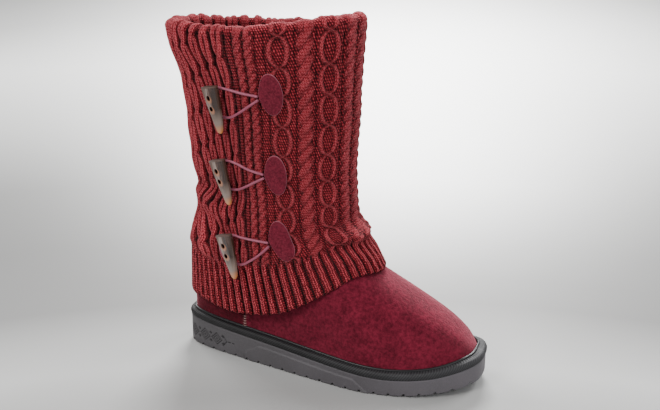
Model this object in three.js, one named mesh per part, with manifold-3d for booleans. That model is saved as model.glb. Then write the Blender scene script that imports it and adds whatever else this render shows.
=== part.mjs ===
// Knit-sleeve ankle boot, right foot, standing on its sole.
// Millimetres. +X points to the toe, -Y to the outer side, +Z up. The forms are worked out from the
// back of the heel (x = 0) and the floor (z = 0), and the whole boot is then moved back so that the
// origin lies on the floor under the middle of the heel.
import * as THREE from 'three';
import { mergeVertices } from 'three/addons/utils/BufferGeometryUtils.js';
import Module from 'manifold-3d';

const wasm = await Module();
wasm.setup();

// Driving dimensions
const SOLE_LENGTH = 284;
const HEEL_SEAT = 38.7; // from the back of the heel to the origin, the middle of a cleat
const CLEAT_PITCH = 12.9;
const CLEAT_GAP = { wide: 2.4, deep: 2.6 };
const TOE_SPRING = { from: 0.68, rise: 8.7 };
const RAND_LAP = 0.5; // the rand's top edge stands this far out from the suede
const RAND_PROUD = 0.9;
const SUEDE = 3; // suede with its pile lining
const ANKLE_SEAM = 116; // height where the lined shaft is sewn to the foot, under the knit
const GAP = 0.3;
const FOOTBED = { thick: 4, bevel: 1.2 };
const KNIT = 4.6;
const COLLAR_ROLL = { over: 6.6, lip: 3.6, down: 14, round: 4.2 };
const SEAM = { x: 70, wide: 2.6, proud: 0.9 };
const REPEATS = 10; // cable repeats round the shaft
const WALES = 10; // columns of the knit in one repeat
const COLUMNS = REPEATS * WALES;
const CORD = 2.2;
const TOGGLE = { long: 41, wide: 17.5, thick: 7.4, hole: 3.6, firstHole: 9.5, nextHole: 19.5 };
const TURNED = 12; // degrees that the toggles face more to the heel than the shaft does
const PATCH = { wide: 19.5, high: 37, thick: 1.7 };
// How finely the curved forms are cut: stations along the foot, steps over it, sides of the shaft.
const OUTSIDE = { along: 25, over: 12, round: 28 };
const INSIDE = { along: 16, over: 10, round: 20 };

// Half widths of the sole's outline from its centre line, outer and inner side, and how far the
// suede stands in from it, where along runs from 0 at the heel to 1 at the toe.
const OUTLINE = [
  { along: 0, outer: 36.4, inner: 36.4, welt: 5.2 },
  { along: 0.12, outer: 37.3, inner: 37.3, welt: 5.2 },
  { along: 0.25, outer: 38.2, inner: 36.4, welt: 5.2 },
  { along: 0.38, outer: 41.7, inner: 35.4, welt: 5.2 },
  { along: 0.5, outer: 49.2, inner: 40.6, welt: 5.2 },
  { along: 0.62, outer: 58.3, inner: 50, welt: 5.2 },
  { along: 0.75, outer: 59.4, inner: 56, welt: 5.6 },
  { along: 0.88, outer: 53, inner: 58, welt: 6.8 },
  { along: 1, outer: 44.5, inner: 60, welt: 7.8 },
];
const HEEL_ROUND = 0.6; // powers of the sine that shape the outline, full at the heel
const TOE_ROUND = 0.72; // and rounder towards the toe
// Heights of the sole's wall and of the rand on it, along the length.
const WALL = [
  { x: 0, sole: 27.2, rand: 33.7 },
  { x: 99, sole: 21.8, rand: 28.6 },
  { x: 199, sole: 15.3, rand: 22.3 },
  { x: 245, sole: 18, rand: 24.9 },
  { x: 284, sole: 26, rand: 32.8 },
];
// Top line of the suede foot, and how square its cross-sections are (1 is an ellipse).
const FOOT = [
  { x: 5, top: 66, square: 0.5 },
  { x: 25, top: 88, square: 0.5 },
  { x: 50, top: 108, square: 0.55 },
  { x: 80, top: 124, square: 0.6 },
  { x: 110, top: 130, square: 0.66 },
  { x: 138, top: 121, square: 0.72 },
  { x: 160, top: 110, square: 0.76 },
  { x: 188, top: 94.5, square: 0.8 },
  { x: 212, top: 81, square: 0.8 },
  { x: 243, top: 63, square: 0.8 },
  { x: 256, top: 54, square: 0.8 },
  { x: 266, top: 45.5, square: 0.8 },
  { x: 272, top: 37.4, square: 0.8 },
  { x: 276, top: 32.2, square: 0.8 },
];
// The lined shaft inside the knit: height, back, front and half width.
const SHAFT = [
  { z: 62, back: 15, front: 146, half: 26 },
  { z: 86, back: 9, front: 156, half: 40 },
  { z: 115, back: 12, front: 158, half: 44.5 },
  { z: 145, back: 18, front: 156.5, half: 45.2 },
  { z: 170, back: 16.6, front: 156.3, half: 45.3 },
  { z: 200, back: 11.6, front: 156.2, half: 46.3 },
  { z: 230, back: 8.8, front: 158.8, half: 48.4 },
  { z: 262, back: 4.8, front: 160.4, half: 50.6 },
  { z: 280, back: -1, front: 161, half: 52 },
  { z: 318, back: -6, front: 162.8, half: 53.2 },
];
// Outer form of the knit sleeve, a row for each course that the cables and folds need: height at
// the back and front, back, front and half width, middle, how far the row follows the hem's rise
// over the instep, and whether an eye of the cable is open there.
const SLEEVE = [
  { zBack: 297, zFront: 310, back: -9.8, front: 167, half: 57.8, mid: 0, rise: 0, eye: 1 },
  { zBack: 284, zFront: 294, back: -7.6, front: 165.8, half: 57.3, mid: 0, rise: 0, eye: 0 },
  { zBack: 270.5, zFront: 278, back: -1, front: 164.4, half: 56.3, mid: 0, rise: 0, eye: 1 },
  { zBack: 257.4, zFront: 263, back: 2.6, front: 163.6, half: 55.2, mid: 0, rise: 0, eye: 0 },
  { zBack: 244, zFront: 248, back: 4.6, front: 162.7, half: 54.2, mid: 0, rise: 0, eye: 1 },
  { zBack: 230.5, zFront: 234, back: 5.6, front: 162.8, half: 53.2, mid: 0, rise: 0, eye: 0 },
  { zBack: 217, zFront: 220.5, back: 6.4, front: 162, half: 52.2, mid: 0, rise: 0, eye: 1 },
  { zBack: 204, zFront: 207, back: 7.4, front: 160.9, half: 51.4, mid: 0, rise: 0, eye: 0 },
  { zBack: 191, zFront: 194, back: 9, front: 160.3, half: 50.8, mid: 0, rise: 0, eye: 1 },
  { zBack: 178.5, zFront: 182, back: 11, front: 159.8, half: 50.4, mid: 0, rise: 0.1, eye: 0 },
  { zBack: 166, zFront: 170, back: 13, front: 160.4, half: 50.2, mid: 0, rise: 0.2, eye: 1 },
  { zBack: 153, zFront: 158, back: 14.4, front: 161, half: 50.2, mid: -0.3, rise: 0.35, eye: 0 },
  { zBack: 140, zFront: 147, back: 14, front: 162.4, half: 50.6, mid: -0.6, rise: 0.5, eye: 1 },
  { zBack: 126, zFront: 137, back: 11, front: 166, half: 51.6, mid: -1, rise: 0.7, eye: 0 },
  { zBack: 112, zFront: 128.5, back: 7, front: 173.6, half: 52.2, mid: -1.4, rise: 0.85, eye: 1 },
  { zBack: 98, zFront: 121.5, back: 5, front: 174.4, half: 51.4, mid: -1.8, rise: 1, eye: 0 },
  { zBack: 75, zFront: 110, back: 4, front: 182.6, half: 50, mid: -2.4, rise: 1, eye: 0 },
  { zBack: 53, zFront: 96.5, back: 3, front: 191, half: 48.4, mid: -3, rise: 1, eye: 0 },
];
// Height of the collar's crest round the opening, from the back by the outer side (turns below 0) to
// the front and back by the inner side. The outer front stands highest.
const COLLAR = [
  { turn: -180, crest: 306 },
  { turn: -132, crest: 307.5 },
  { turn: -100, crest: 308.5 },
  { turn: -67, crest: 313.5 },
  { turn: -48, crest: 317 },
  { turn: -25, crest: 318.5 },
  { turn: 0, crest: 318 },
  { turn: 30, crest: 313.5 },
  { turn: 60, crest: 305.5 },
  { turn: 86, crest: 301.5 },
  { turn: 120, crest: 301.5 },
  { turn: 150, crest: 303.5 },
  { turn: 180, crest: 306 },
];
const COURSES = SLEEVE.map((row, level) => ({ ...row, level }));
const SWELL_ROWS = 5;
const BAND_TOP = 15; // the row where the cables end and the ribs of the hem begin
// How the hem climbs from the heel (0) to the instep (1), by the turn from the front.
const HEM_RISE = [
  { turn: 0, up: 1 },
  { turn: 34, up: 1 },
  { turn: 50, up: 0.76 },
  { turn: 65, up: 0.47 },
  { turn: 80, up: 0.19 },
  { turn: 95, up: 0.06 },
  { turn: 112, up: 0 },
  { turn: 140, up: 0.06 },
  { turn: 180, up: 0 },
];
// Height of the relief of one repeat, across its columns: an eye cable and a braid between gutters.
// open is where the eye is open and shut where its two cords cross.
const CABLE = [
  { open: 0.5, shut: 1.7 },
  { open: 1.5, shut: 1.3 },
  { open: 1.2, shut: 0.4 },
  { open: -0.8, shut: -0.8 },
  { open: 0.9, shut: 1.4 },
  { open: 1.5, shut: 1.1 },
  { open: 1.2, shut: 1.5 },
  { open: -0.8, shut: -0.8 },
  { open: 1.2, shut: 0.4 },
  { open: 1.5, shut: 1.3 },
];
const RELIEF = 1.7; // the highest of it, which patches and cords lie on
const FIRST_EYE = -35.8; // distance round the shaft from its front to the first eye cable
const RIB = 0.9;
// Each fastening: turn and height of the toggle's middle, the way its top leans to the heel and how
// far it stands off the cord, turn and height of its patch's nose, and the patch's height and tilt.
const FASTENINGS = [
  { turn: -109, z: 240.5, lean: 10, off: 1.5, noseTurn: -79.9, noseZ: 254, patchZ: 257.5, tilt: 5 },
  { turn: -108.5, z: 176.5, lean: 9, off: 1.5, noseTurn: -79, noseZ: 186, patchZ: 187.5, tilt: 4 },
  { turn: -106.5, z: 109.5, lean: 21, off: 0.7, noseTurn: -79, noseZ: 125.5, patchZ: 129.5, tilt: 13 },
];
// The cord loop, from its patch round behind the toggle and back. A point lies towards of the way
// from toggle to nose and then across mm on, and lift of the nose's height above the toggle and then
// up mm on.
const LOOP = [
  { towards: 1, across: 0, lift: 1, up: 1.5 },
  { towards: 0.62, across: 0, lift: 0.62, up: 7.8 },
  { towards: 0, across: 9, lift: 0, up: 17.4 },
  { towards: 0, across: 0, lift: 0, up: 18 },
  { towards: 0, across: -8.6, lift: 0, up: 15.4 },
  { towards: 0, across: -13, lift: 0, up: 8.6 },
  { towards: 0, across: -12.4, lift: 0, up: 1 },
  { towards: 0, across: -7.4, lift: 0, up: -4.6 },
  { towards: 0, across: 1, lift: 0, up: -7 },
  { towards: 0, across: 9, lift: 0, up: -6.6 },
  { towards: 0.48, across: 0, lift: 0.2, up: -4.9 },
  { towards: 0.76, across: 0, lift: 0.6, up: -2.8 },
  { towards: 1, across: 0, lift: 1, up: -1.5 },
];

const COLOURS = {
  suede: { color: 0x74223a, roughness: 0.95, metalness: 0 },
  knit: { color: 0x8c2f38, roughness: 0.95, metalness: 0 },
  cord: { color: 0xa04a60, roughness: 0.8, metalness: 0 },
  horn: { color: 0x7a6558, roughness: 0.35, metalness: 0 },
  rand: { color: 0x323436, roughness: 0.7, metalness: 0 },
  sole: { color: 0x5f5f64, roughness: 0.7, metalness: 0 },
  lining: { color: 0x5a2236, roughness: 1, metalness: 0 },
};

// Value of a named column at a place in a table, on a smooth curve through its rows.
function smooth(rows, key, at, column) {
  let i = 0;
  while (i < rows.length - 2 && rows[i + 1][key] < at) i += 1;
  const slope = (j) => {
    const a = rows[Math.max(j - 1, 0)];
    const b = rows[Math.min(j + 1, rows.length - 1)];
    return (b[column] - a[column]) / (b[key] - a[key]);
  };
  const [low, high] = [rows[i], rows[i + 1]];
  const span = high[key] - low[key];
  const t = THREE.MathUtils.clamp((at - low[key]) / span, 0, 1);
  const rise = high[column] - low[column];
  const bend = (slope(i) * span - rise) * (1 - t) - (slope(i + 1) * span - rise) * t;
  return low[column] + rise * t + bend * t * (1 - t);
}

// A sign-keeping power, which squares or softens a circle's sine and cosine.
function power(value, exponent) {
  return Math.sign(value) * Math.abs(value) ** exponent;
}

// A solid from rings of points, each ring joined to the next and both ends closed by a fan.
function loft(rings) {
  const sides = rings[0].length;
  const positions = rings.flat().flatMap((point) => [point.x, point.y, point.z]);
  const triangles = [];
  for (let r = 0; r < rings.length - 1; r += 1) {
    for (let s = 0; s < sides; s += 1) {
      const [a, b] = [r * sides + s, r * sides + ((s + 1) % sides)];
      const [c, d] = [a + sides, b + sides];
      triangles.push(a, b, d, a, d, c);
    }
  }
  for (const [first, flip] of [[0, true], [(rings.length - 1) * sides, false]]) {
    const ring = flip ? rings[0] : rings[rings.length - 1];
    const middle = ring.reduce((sum, point) => sum.add(point), new THREE.Vector3());
    middle.divideScalar(sides);
    const hub = positions.length / 3;
    positions.push(middle.x, middle.y, middle.z);
    for (let s = 0; s < sides; s += 1) {
      const [a, b] = [first + s, first + ((s + 1) % sides)];
      triangles.push(...(flip ? [hub, b, a] : [hub, a, b]));
    }
  }
  const geometry = new THREE.BufferGeometry();
  geometry.setAttribute('position', new THREE.Float32BufferAttribute(positions, 3));
  geometry.setIndex(triangles);
  return toSolid(geometry);
}

// Six times the volume inside a mesh, below zero where its faces point inwards.
function signedVolume(positions, triangles) {
  const corner = (i) => new THREE.Vector3().fromArray(positions, 3 * triangles[i]);
  let sum = 0;
  for (let i = 0; i < triangles.length; i += 3) {
    sum += corner(i).dot(corner(i + 1).cross(corner(i + 2)));
  }
  return sum;
}

function toSolid(geometry) {
  geometry.deleteAttribute('normal');
  geometry.deleteAttribute('uv');
  const welded = mergeVertices(geometry, 1e-4);
  const vertProperties = new Float32Array(welded.attributes.position.array);
  const triVerts = new Uint32Array(welded.index.array);
  if (signedVolume(vertProperties, triVerts) < 0) triVerts.reverse();
  return new wasm.Manifold(new wasm.Mesh({ numProp: 3, vertProperties, triVerts }));
}

function toMesh(name, manifold, material) {
  const { vertProperties, triVerts } = manifold.getMesh();
  const geometry = new THREE.BufferGeometry();
  geometry.setAttribute('position', new THREE.Float32BufferAttribute(vertProperties, 3));
  geometry.setIndex([...triVerts]);
  geometry.computeVertexNormals();
  const mesh = new THREE.Mesh(geometry, new THREE.MeshStandardMaterial(COLOURS[material]));
  mesh.name = name;
  return mesh;
}

function join(solids) {
  return solids.reduce((whole, piece) => whole.add(piece));
}

// Sole, rand and insole: the outline

// Point of the sole's outline on one side (-1 outer, 1 inner), moved in by inset along its normal.
function outlinePoint(along, side, inset) {
  const raw = (t) => {
    const heel = THREE.MathUtils.lerp(HEEL_ROUND, TOE_ROUND, Math.min(1, 2 * t));
    const round = Math.sin(Math.PI * t) ** heel;
    const width = smooth(OUTLINE, 'along', t, side < 0 ? 'outer' : 'inner');
    const x = (SOLE_LENGTH / 2) * (1 - Math.cos(Math.PI * t));
    return new THREE.Vector2(x, side * width * round - 1.6 * t ** 3);
  };
  const step = 0.004;
  const tangent = raw(along + step).sub(raw(along - step)).normalize();
  const inward = new THREE.Vector2(tangent.y, -tangent.x).multiplyScalar(side);
  return raw(along).addScaledVector(inward, inset);
}

// Stations along the foot, close together at heel and toe by the outline's own cosine.
function stations(count) {
  const first = 0.006;
  return Array.from({ length: count }, (_, i) => first + ((1 - 2 * first) * i) / (count - 1));
}

function bottomAt(x) {
  const start = TOE_SPRING.from * SOLE_LENGTH;
  const ahead = THREE.MathUtils.clamp((x - start) / (SOLE_LENGTH - start), 0, 1);
  return TOE_SPRING.rise * ahead ** 2;
}

function wallAt(x, column) {
  return smooth(WALL, 'x', x, column);
}

function weltAt(along) {
  return smooth(OUTLINE, 'along', along, 'welt');
}

// A slab with the sole's outline: levels gives the height and the inset of each of its edges, from
// the bottom up, as mm from the outline and as a share of the way in to the suede.
function slab(count, levels) {
  return loft(stations(count).map((along) => {
    const corner = (side, level) => {
      const inset = level.inset + (level.welt ?? 0) * weltAt(along);
      const point = outlinePoint(along, side, inset);
      return new THREE.Vector3(point.x, point.y, level.height(point.x));
    };
    return [
      ...levels.map((level) => corner(-1, level)).reverse(),
      ...levels.map((level) => corner(1, level)),
    ];
  }));
}

function outsole() {
  const body = slab(OUTSIDE.along, [
    { inset: 1.4, height: bottomAt },
    { inset: 0, height: (x) => bottomAt(x) + 1.6 },
    { inset: 0, height: (x) => wallAt(x, 'sole') },
  ]);
  const gaps = [];
  for (let x = HEEL_SEAT - 2.5 * CLEAT_PITCH; x < SOLE_LENGTH - 6; x += CLEAT_PITCH) {
    const box = new THREE.BoxGeometry(CLEAT_GAP.wide, 140, 2 * CLEAT_GAP.deep);
    box.translate(x, 0, bottomAt(x));
    gaps.push(toSolid(box));
  }
  return body.subtract(join(gaps));
}

function rand() {
  const foot = (x) => wallAt(x, 'sole') + GAP;
  const top = (x) => wallAt(x, 'rand');
  const band = slab(OUTSIDE.along, [
    { inset: 0.2, height: foot },
    { inset: -RAND_PROUD, height: (x) => foot(x) * 0.62 + top(x) * 0.38 },
    { inset: 0.6, height: (x) => top(x) - 1.5 },
    { inset: -RAND_LAP, welt: 1, height: top },
  ]);
  const hollow = slab(OUTSIDE.along, [
    { inset: -GAP, welt: 1, height: (x) => foot(x) - 5 },
    { inset: -GAP, welt: 1, height: (x) => top(x) + 5 },
  ]);
  return band.subtract(hollow);
}

function insole() {
  const edge = SUEDE + GAP;
  const bottom = (x) => wallAt(x, 'sole') + GAP;
  return slab(INSIDE.along, [
    { inset: edge, welt: 1, height: bottom },
    { inset: edge + FOOTBED.bevel, welt: 1, height: (x) => bottom(x) + FOOTBED.thick },
  ]);
}

// Upper: the suede foot and the lined shaft

// The foot as arched sections across the outline. grow moves the whole surface out, and below
// carries its walls down past the sole line.
function footForm({ along: count, over }, grow, below) {
  return loft(stations(count).map((along) => {
    const outer = outlinePoint(along, -1, weltAt(along) - grow);
    const inner = outlinePoint(along, 1, weltAt(along) - grow);
    const x = (outer.x + inner.x) / 2;
    const base = wallAt(x, 'sole') + GAP;
    const top = smooth(FOOT, 'x', x, 'top') + grow;
    const square = smooth(FOOT, 'x', x, 'square');
    const ring = [];
    for (let i = 0; i <= over; i += 1) {
      const angle = (Math.PI * i) / over;
      const across = (1 - power(Math.cos(angle), square)) / 2;
      const plan = new THREE.Vector2().lerpVectors(outer, inner, across);
      const height = base + (top - base) * Math.sin(angle) ** square;
      ring.push(new THREE.Vector3(plan.x, plan.y, height));
    }
    ring.push(new THREE.Vector3(inner.x, inner.y, base - below));
    ring.unshift(new THREE.Vector3(outer.x, outer.y, base - below));
    return ring;
  }));
}

function degrees(turn) {
  return THREE.MathUtils.radToDeg(Math.atan2(Math.sin(turn), Math.cos(turn)));
}

// Height of the collar's crest above the plane that the sleeve's top row lies in.
function collarSwell(turn) {
  const [first] = SLEEVE;
  const plane = THREE.MathUtils.lerp(first.zBack, first.zFront, (1 + Math.cos(turn)) / 2);
  return smooth(COLLAR, 'turn', degrees(turn), 'crest') - plane - COLLAR_ROLL.round;
}

function shaftTop(turn) {
  return smooth(COLLAR, 'turn', degrees(turn), 'crest') - COLLAR_ROLL.over;
}

// The shaft as upright ellipses, from its foot up to top(turn). Above its last row it runs straight up.
function shaftForm({ round: sides }, grow, top) {
  const last = SHAFT.length - 1;
  const ring = (lower, share, height) => Array.from({ length: sides }, (_, i) => {
    const turn = (2 * Math.PI * i) / sides;
    const part = share(turn);
    const mix = (column) => THREE.MathUtils.lerp(SHAFT[lower][column], SHAFT[lower + 1][column], part);
    const long = (mix('front') - mix('back')) / 2 + grow;
    const x = (mix('back') + mix('front')) / 2 + long * Math.cos(turn);
    return new THREE.Vector3(x, (mix('half') + grow) * Math.sin(turn), height(turn));
  });
  const below = SHAFT[last - 1].z;
  const climb = SHAFT[last].z - below;
  const share = (turn) => Math.min(1, (top(turn) - below) / climb);
  const rings = SHAFT.slice(0, last).map((row, i) => ring(i, () => 0, () => row.z));
  rings.push(ring(last - 1, share, (turn) => Math.min(top(turn), SHAFT[last].z)));
  if (top(Math.PI) > SHAFT[last].z) rings.push(ring(last - 1, () => 1, top));
  return loft(rings);
}

// The raised seam between heel quarter and vamp, on both sides, cut from the foot's own form.
function seams(grow, wider) {
  const strip = new THREE.BoxGeometry(SEAM.wide + 2 * wider, 200, 30 + 2 * wider);
  const bottom = wallAt(SEAM.x, 'rand') + GAP + 1 - wider;
  strip.translate(SEAM.x, 0, bottom + 15 + wider);
  return footForm(OUTSIDE, grow, 0).intersect(toSolid(strip));
}

// Foot and shaft in one, and then parted at the ankle seam.
function linedBoot() {
  const outside = join([
    footForm(OUTSIDE, 0, 0),
    shaftForm(OUTSIDE, 0, shaftTop),
    seams(SEAM.proud, 0),
  ]);
  const inside = join([
    footForm(INSIDE, -SUEDE, 6),
    shaftForm(INSIDE, -SUEDE, (turn) => shaftTop(turn) + 30),
  ]);
  return outside.subtract(inside);
}

function upper() {
  return linedBoot().trimByPlane([0, 0, -1], -ANKLE_SEAM);
}

function shaft() {
  return linedBoot().trimByPlane([0, 0, 1], ANKLE_SEAM + GAP);
}

// Knit sleeve

// Turns that lie at even distances round the shaft, so that all columns of the knit are as wide.
function evenTurns() {
  const fine = 720;
  const [long, short] = [77, 52];
  const reached = [0];
  for (let i = 1; i <= fine; i += 1) {
    const turn = (2 * Math.PI * (i - 0.5)) / fine;
    const pace = Math.hypot(long * Math.sin(turn), short * Math.cos(turn));
    reached.push(reached[i - 1] + (pace * 2 * Math.PI) / fine);
  }
  const round = reached[fine];
  return Array.from({ length: COLUMNS }, (_, column) => {
    const place = FIRST_EYE + (round * column) / COLUMNS;
    const wanted = (place + 2 * round) % round;
    const i = reached.findIndex((distance) => distance > wanted);
    const part = (wanted - reached[i - 1]) / (reached[i] - reached[i - 1]);
    return (2 * Math.PI * (i - 1 + part)) / fine;
  });
}

// Point of the sleeve's plain outer form at a turn and a row, which may lie between two rows. The
// collar's swell fades out over the first rows.
function sleevePoint(turn, row, grow = 0) {
  const at = (column) => smooth(COURSES, 'level', row, column);
  const climb = smooth(HEM_RISE, 'turn', Math.abs(degrees(turn)), 'up');
  const up = THREE.MathUtils.lerp((1 + Math.cos(turn)) / 2, climb, at('rise'));
  const swell = collarSwell(turn) * Math.max(0, 1 - row / SWELL_ROWS) ** 2;
  return new THREE.Vector3(
    (at('back') + at('front')) / 2 + ((at('front') - at('back')) / 2 + grow) * Math.cos(turn),
    at('mid') + (at('half') + grow) * Math.sin(turn),
    THREE.MathUtils.lerp(at('zBack'), at('zFront'), up) + swell,
  );
}

function knitRelief(column, row) {
  if (row >= BAND_TOP) return column % 2 ? -RIB : RIB;
  const { open, shut } = CABLE[column % WALES];
  return SLEEVE[row].eye ? open : shut;
}

function knitSleeve() {
  const turns = evenTurns();
  const course = (row, grow, lift, relief = false) => turns.map((turn, column) => {
    const point = sleevePoint(turn, row, grow + (relief ? knitRelief(column, row) : 0));
    point.z += lift;
    return point;
  });
  const hem = SLEEVE.length - 1;
  const rows = [course(hem, -7, 2.5), course(hem, -1.4, -0.6)];
  for (let row = hem; row >= 0; row -= 1) rows.push(course(row, 0, 0, true));
  rows.push(course(0, -1.4, 3), course(0, -4, 4.2));
  const outside = loft(rows);

  const slot = shaftForm(OUTSIDE, GAP + 0.1, (turn) => shaftTop(turn) + GAP + 0.1);
  const lip = shaftForm(INSIDE, -SUEDE - GAP - 0.1, (turn) => shaftTop(turn) + 24);
  const above = new THREE.BoxGeometry(400, 400, 60);
  above.translate(80, 0, 330 - COLLAR_ROLL.down);
  const foot = footForm(OUTSIDE, GAP + 0.1, 8);
  const seamRoom = seams(SEAM.proud + 0.4, 0.4);
  const mouth = loft([
    { lift: -36, inset: KNIT + SUEDE + COLLAR_ROLL.lip + 0.6 },
    { lift: -2, inset: KNIT + SUEDE + COLLAR_ROLL.lip },
    { lift: 2.4, inset: KNIT + SUEDE + 1.6 },
    { lift: 8, inset: KNIT + SUEDE - 2 },
  ].map(({ lift, inset }) => turns.filter((_, i) => i % 3 === 0).map((turn) => {
    const point = sleevePoint(turn, 0, -inset);
    point.z += lift;
    return point;
  })));
  const wearer = slot.subtract(lip.intersect(toSolid(above)));
  return outside.subtract(join([wearer, foot, seamRoom])).subtract(mouth);
}

// Fastenings

// Place on the sleeve's plain form at a turn and height, with its outward normal and its two ways
// along the surface.
function seat(turnDegrees, z) {
  const turn = THREE.MathUtils.degToRad(turnDegrees);
  let [low, high] = [0, SLEEVE.length - 1];
  for (let i = 0; i < 30; i += 1) {
    const middle = (low + high) / 2;
    if (sleevePoint(turn, middle).z > z) low = middle;
    else high = middle;
  }
  const point = sleevePoint(turn, low);
  const round = sleevePoint(turn + 0.02, low).sub(sleevePoint(turn - 0.02, low)).normalize();
  const down = sleevePoint(turn, low + 0.05).sub(sleevePoint(turn, low - 0.05)).normalize();
  const out = new THREE.Vector3().crossVectors(down, round).normalize();
  return { point, round, out, up: down.negate() };
}

// A place that lies across mm towards the patch and up mm from a fastening's toggle.
function fromToggle({ turn, z }, across, up, height) {
  const place = seat(turn + across / 1.32, z + up);
  return place.point.addScaledVector(place.out, height);
}

function patch(fastening) {
  const sides = 18;
  const reach = (fastening.noseTurn - fastening.turn) * 1.32 + PATCH.wide / 2 + 1.4;
  const tilt = THREE.MathUtils.degToRad(fastening.tilt);
  const middle = fastening.patchZ - fastening.z;
  const bottom = RELIEF + GAP;
  const layer = (size, height) => Array.from({ length: sides }, (_, i) => {
    const angle = (2 * Math.PI * i) / sides;
    const nose = 1.5 * Math.max(0, Math.cos(angle - Math.PI)) ** 12;
    const u = Math.cos(angle) * (PATCH.wide / 2 + nose) * size;
    const v = Math.sin(angle) * (PATCH.high / 2) * size;
    const across = u * Math.cos(tilt) - v * Math.sin(tilt);
    return fromToggle(fastening, reach + across, middle + u * Math.sin(tilt) + v * Math.cos(tilt),
      height);
  });
  return loft([
    layer(0.5, bottom),
    layer(1, bottom),
    layer(1, bottom + PATCH.thick),
    layer(0.5, bottom + PATCH.thick + 0.2),
  ]);
}

function cordLoop(fastening) {
  const span = (fastening.noseTurn - fastening.turn) * 1.32 - 1.6;
  const nose = fastening.noseZ - fastening.z;
  const height = RELIEF + GAP + CORD / 2;
  const points = LOOP.map(({ towards, across, lift, up }) => (
    fromToggle(fastening, across + towards * span, up + lift * nose, height)));
  const section = new THREE.Shape();
  section.absarc(0, 0, CORD / 2, 0, 2 * Math.PI);
  return toSolid(new THREE.ExtrudeGeometry(section, {
    extrudePath: new THREE.CatmullRomCurve3(points),
    steps: 20,
    curveSegments: 3,
  }));
}

function toggle(fastening) {
  const { long, wide, thick, hole, firstHole, nextHole } = TOGGLE;
  // Sections from the cut end to the tip: share of the width and thickness, and the horn's bend.
  const cuts = [
    { at: 0, width: 1, depth: 1, bend: 0 },
    { at: 0.25, width: 0.86, depth: 0.95, bend: 0.3 },
    { at: 0.5, width: 0.68, depth: 0.84, bend: 0.5 },
    { at: 0.75, width: 0.47, depth: 0.68, bend: 0.3 },
    { at: 0.93, width: 0.29, depth: 0.5, bend: -0.3 },
    { at: 1, width: 0.13, depth: 0.26, bend: -0.6 },
  ];
  // Outline of a section: flat back, upright sides and a bevelled face.
  const corners = [[-0.8, 0], [-1, 0.3], [-0.95, 0.72], [-0.62, 1], [0.62, 1], [0.95, 0.72],
    [1, 0.3], [0.8, 0]];
  const horn = loft(cuts.map(({ at, width, depth, bend }) => corners.map(([across, deep]) => (
    new THREE.Vector3(
      bend + (across * wide * width) / 2,
      long / 2 - at * long,
      deep * thick * depth + (1 - depth) * thick * 0.3,
    )))));
  const drills = [firstHole, nextHole].map((from) => {
    const drill = new THREE.CylinderGeometry(hole / 2, hole / 2, 3 * thick, 8);
    drill.rotateX(Math.PI / 2);
    drill.translate(0, long / 2 - from, 0);
    return toSolid(drill);
  });
  const place = seat(fastening.turn, fastening.z);
  const lean = THREE.MathUtils.degToRad(fastening.lean);
  const up = place.up.clone().applyAxisAngle(place.out, lean);
  const face = place.out.clone().applyAxisAngle(up, THREE.MathUtils.degToRad(-TURNED));
  const side = new THREE.Vector3().crossVectors(up, face);
  place.point.addScaledVector(place.out, RELIEF + CORD + GAP + fastening.off);
  const frame = new THREE.Matrix4().makeBasis(side, up, face).setPosition(place.point);
  return horn.subtract(join(drills)).transform(frame.elements);
}

const boot = new THREE.Group();
boot.position.x = -HEEL_SEAT;
boot.add(toMesh('outsole', outsole(), 'sole'));
boot.add(toMesh('rand', rand(), 'rand'));
boot.add(toMesh('insole', insole(), 'lining'));
boot.add(toMesh('upper', upper(), 'suede'));
boot.add(toMesh('shaft', shaft(), 'lining'));
boot.add(toMesh('knit_sleeve', knitSleeve(), 'knit'));
FASTENINGS.forEach((fastening, i) => {
  boot.add(toMesh(`patch_${i + 1}`, patch(fastening), 'suede'));
  boot.add(toMesh(`cord_loop_${i + 1}`, cordLoop(fastening), 'cord'));
  boot.add(toMesh(`toggle_${i + 1}`, toggle(fastening), 'horn'));
});

export default boot;
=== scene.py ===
import bpy
import numpy as np
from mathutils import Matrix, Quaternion, Vector


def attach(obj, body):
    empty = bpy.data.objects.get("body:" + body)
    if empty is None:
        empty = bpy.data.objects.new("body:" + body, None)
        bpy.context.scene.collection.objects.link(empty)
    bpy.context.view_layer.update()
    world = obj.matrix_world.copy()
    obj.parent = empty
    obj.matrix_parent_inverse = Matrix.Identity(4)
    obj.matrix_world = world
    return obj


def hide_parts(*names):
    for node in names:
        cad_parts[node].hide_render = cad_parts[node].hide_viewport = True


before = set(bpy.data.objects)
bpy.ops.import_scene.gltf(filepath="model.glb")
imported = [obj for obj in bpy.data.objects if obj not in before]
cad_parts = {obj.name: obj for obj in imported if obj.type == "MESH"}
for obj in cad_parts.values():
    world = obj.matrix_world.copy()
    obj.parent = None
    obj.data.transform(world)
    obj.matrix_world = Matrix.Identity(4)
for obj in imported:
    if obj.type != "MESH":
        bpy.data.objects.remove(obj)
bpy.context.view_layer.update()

# Camera
# It stands ahead of the boot's outer side, in metres from the origin, and looks down on it. Its turn
# puts the boot in the middle of the picture.
EYE = Vector((0.3960, -0.7968, 0.4413))
RISE, AROUND, ROLL = -19.0, 20.4, 0.28
IMAGE_WIDTH, FOCAL_PIXELS, SENSOR = 660, 1012.0, 36.0


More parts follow.
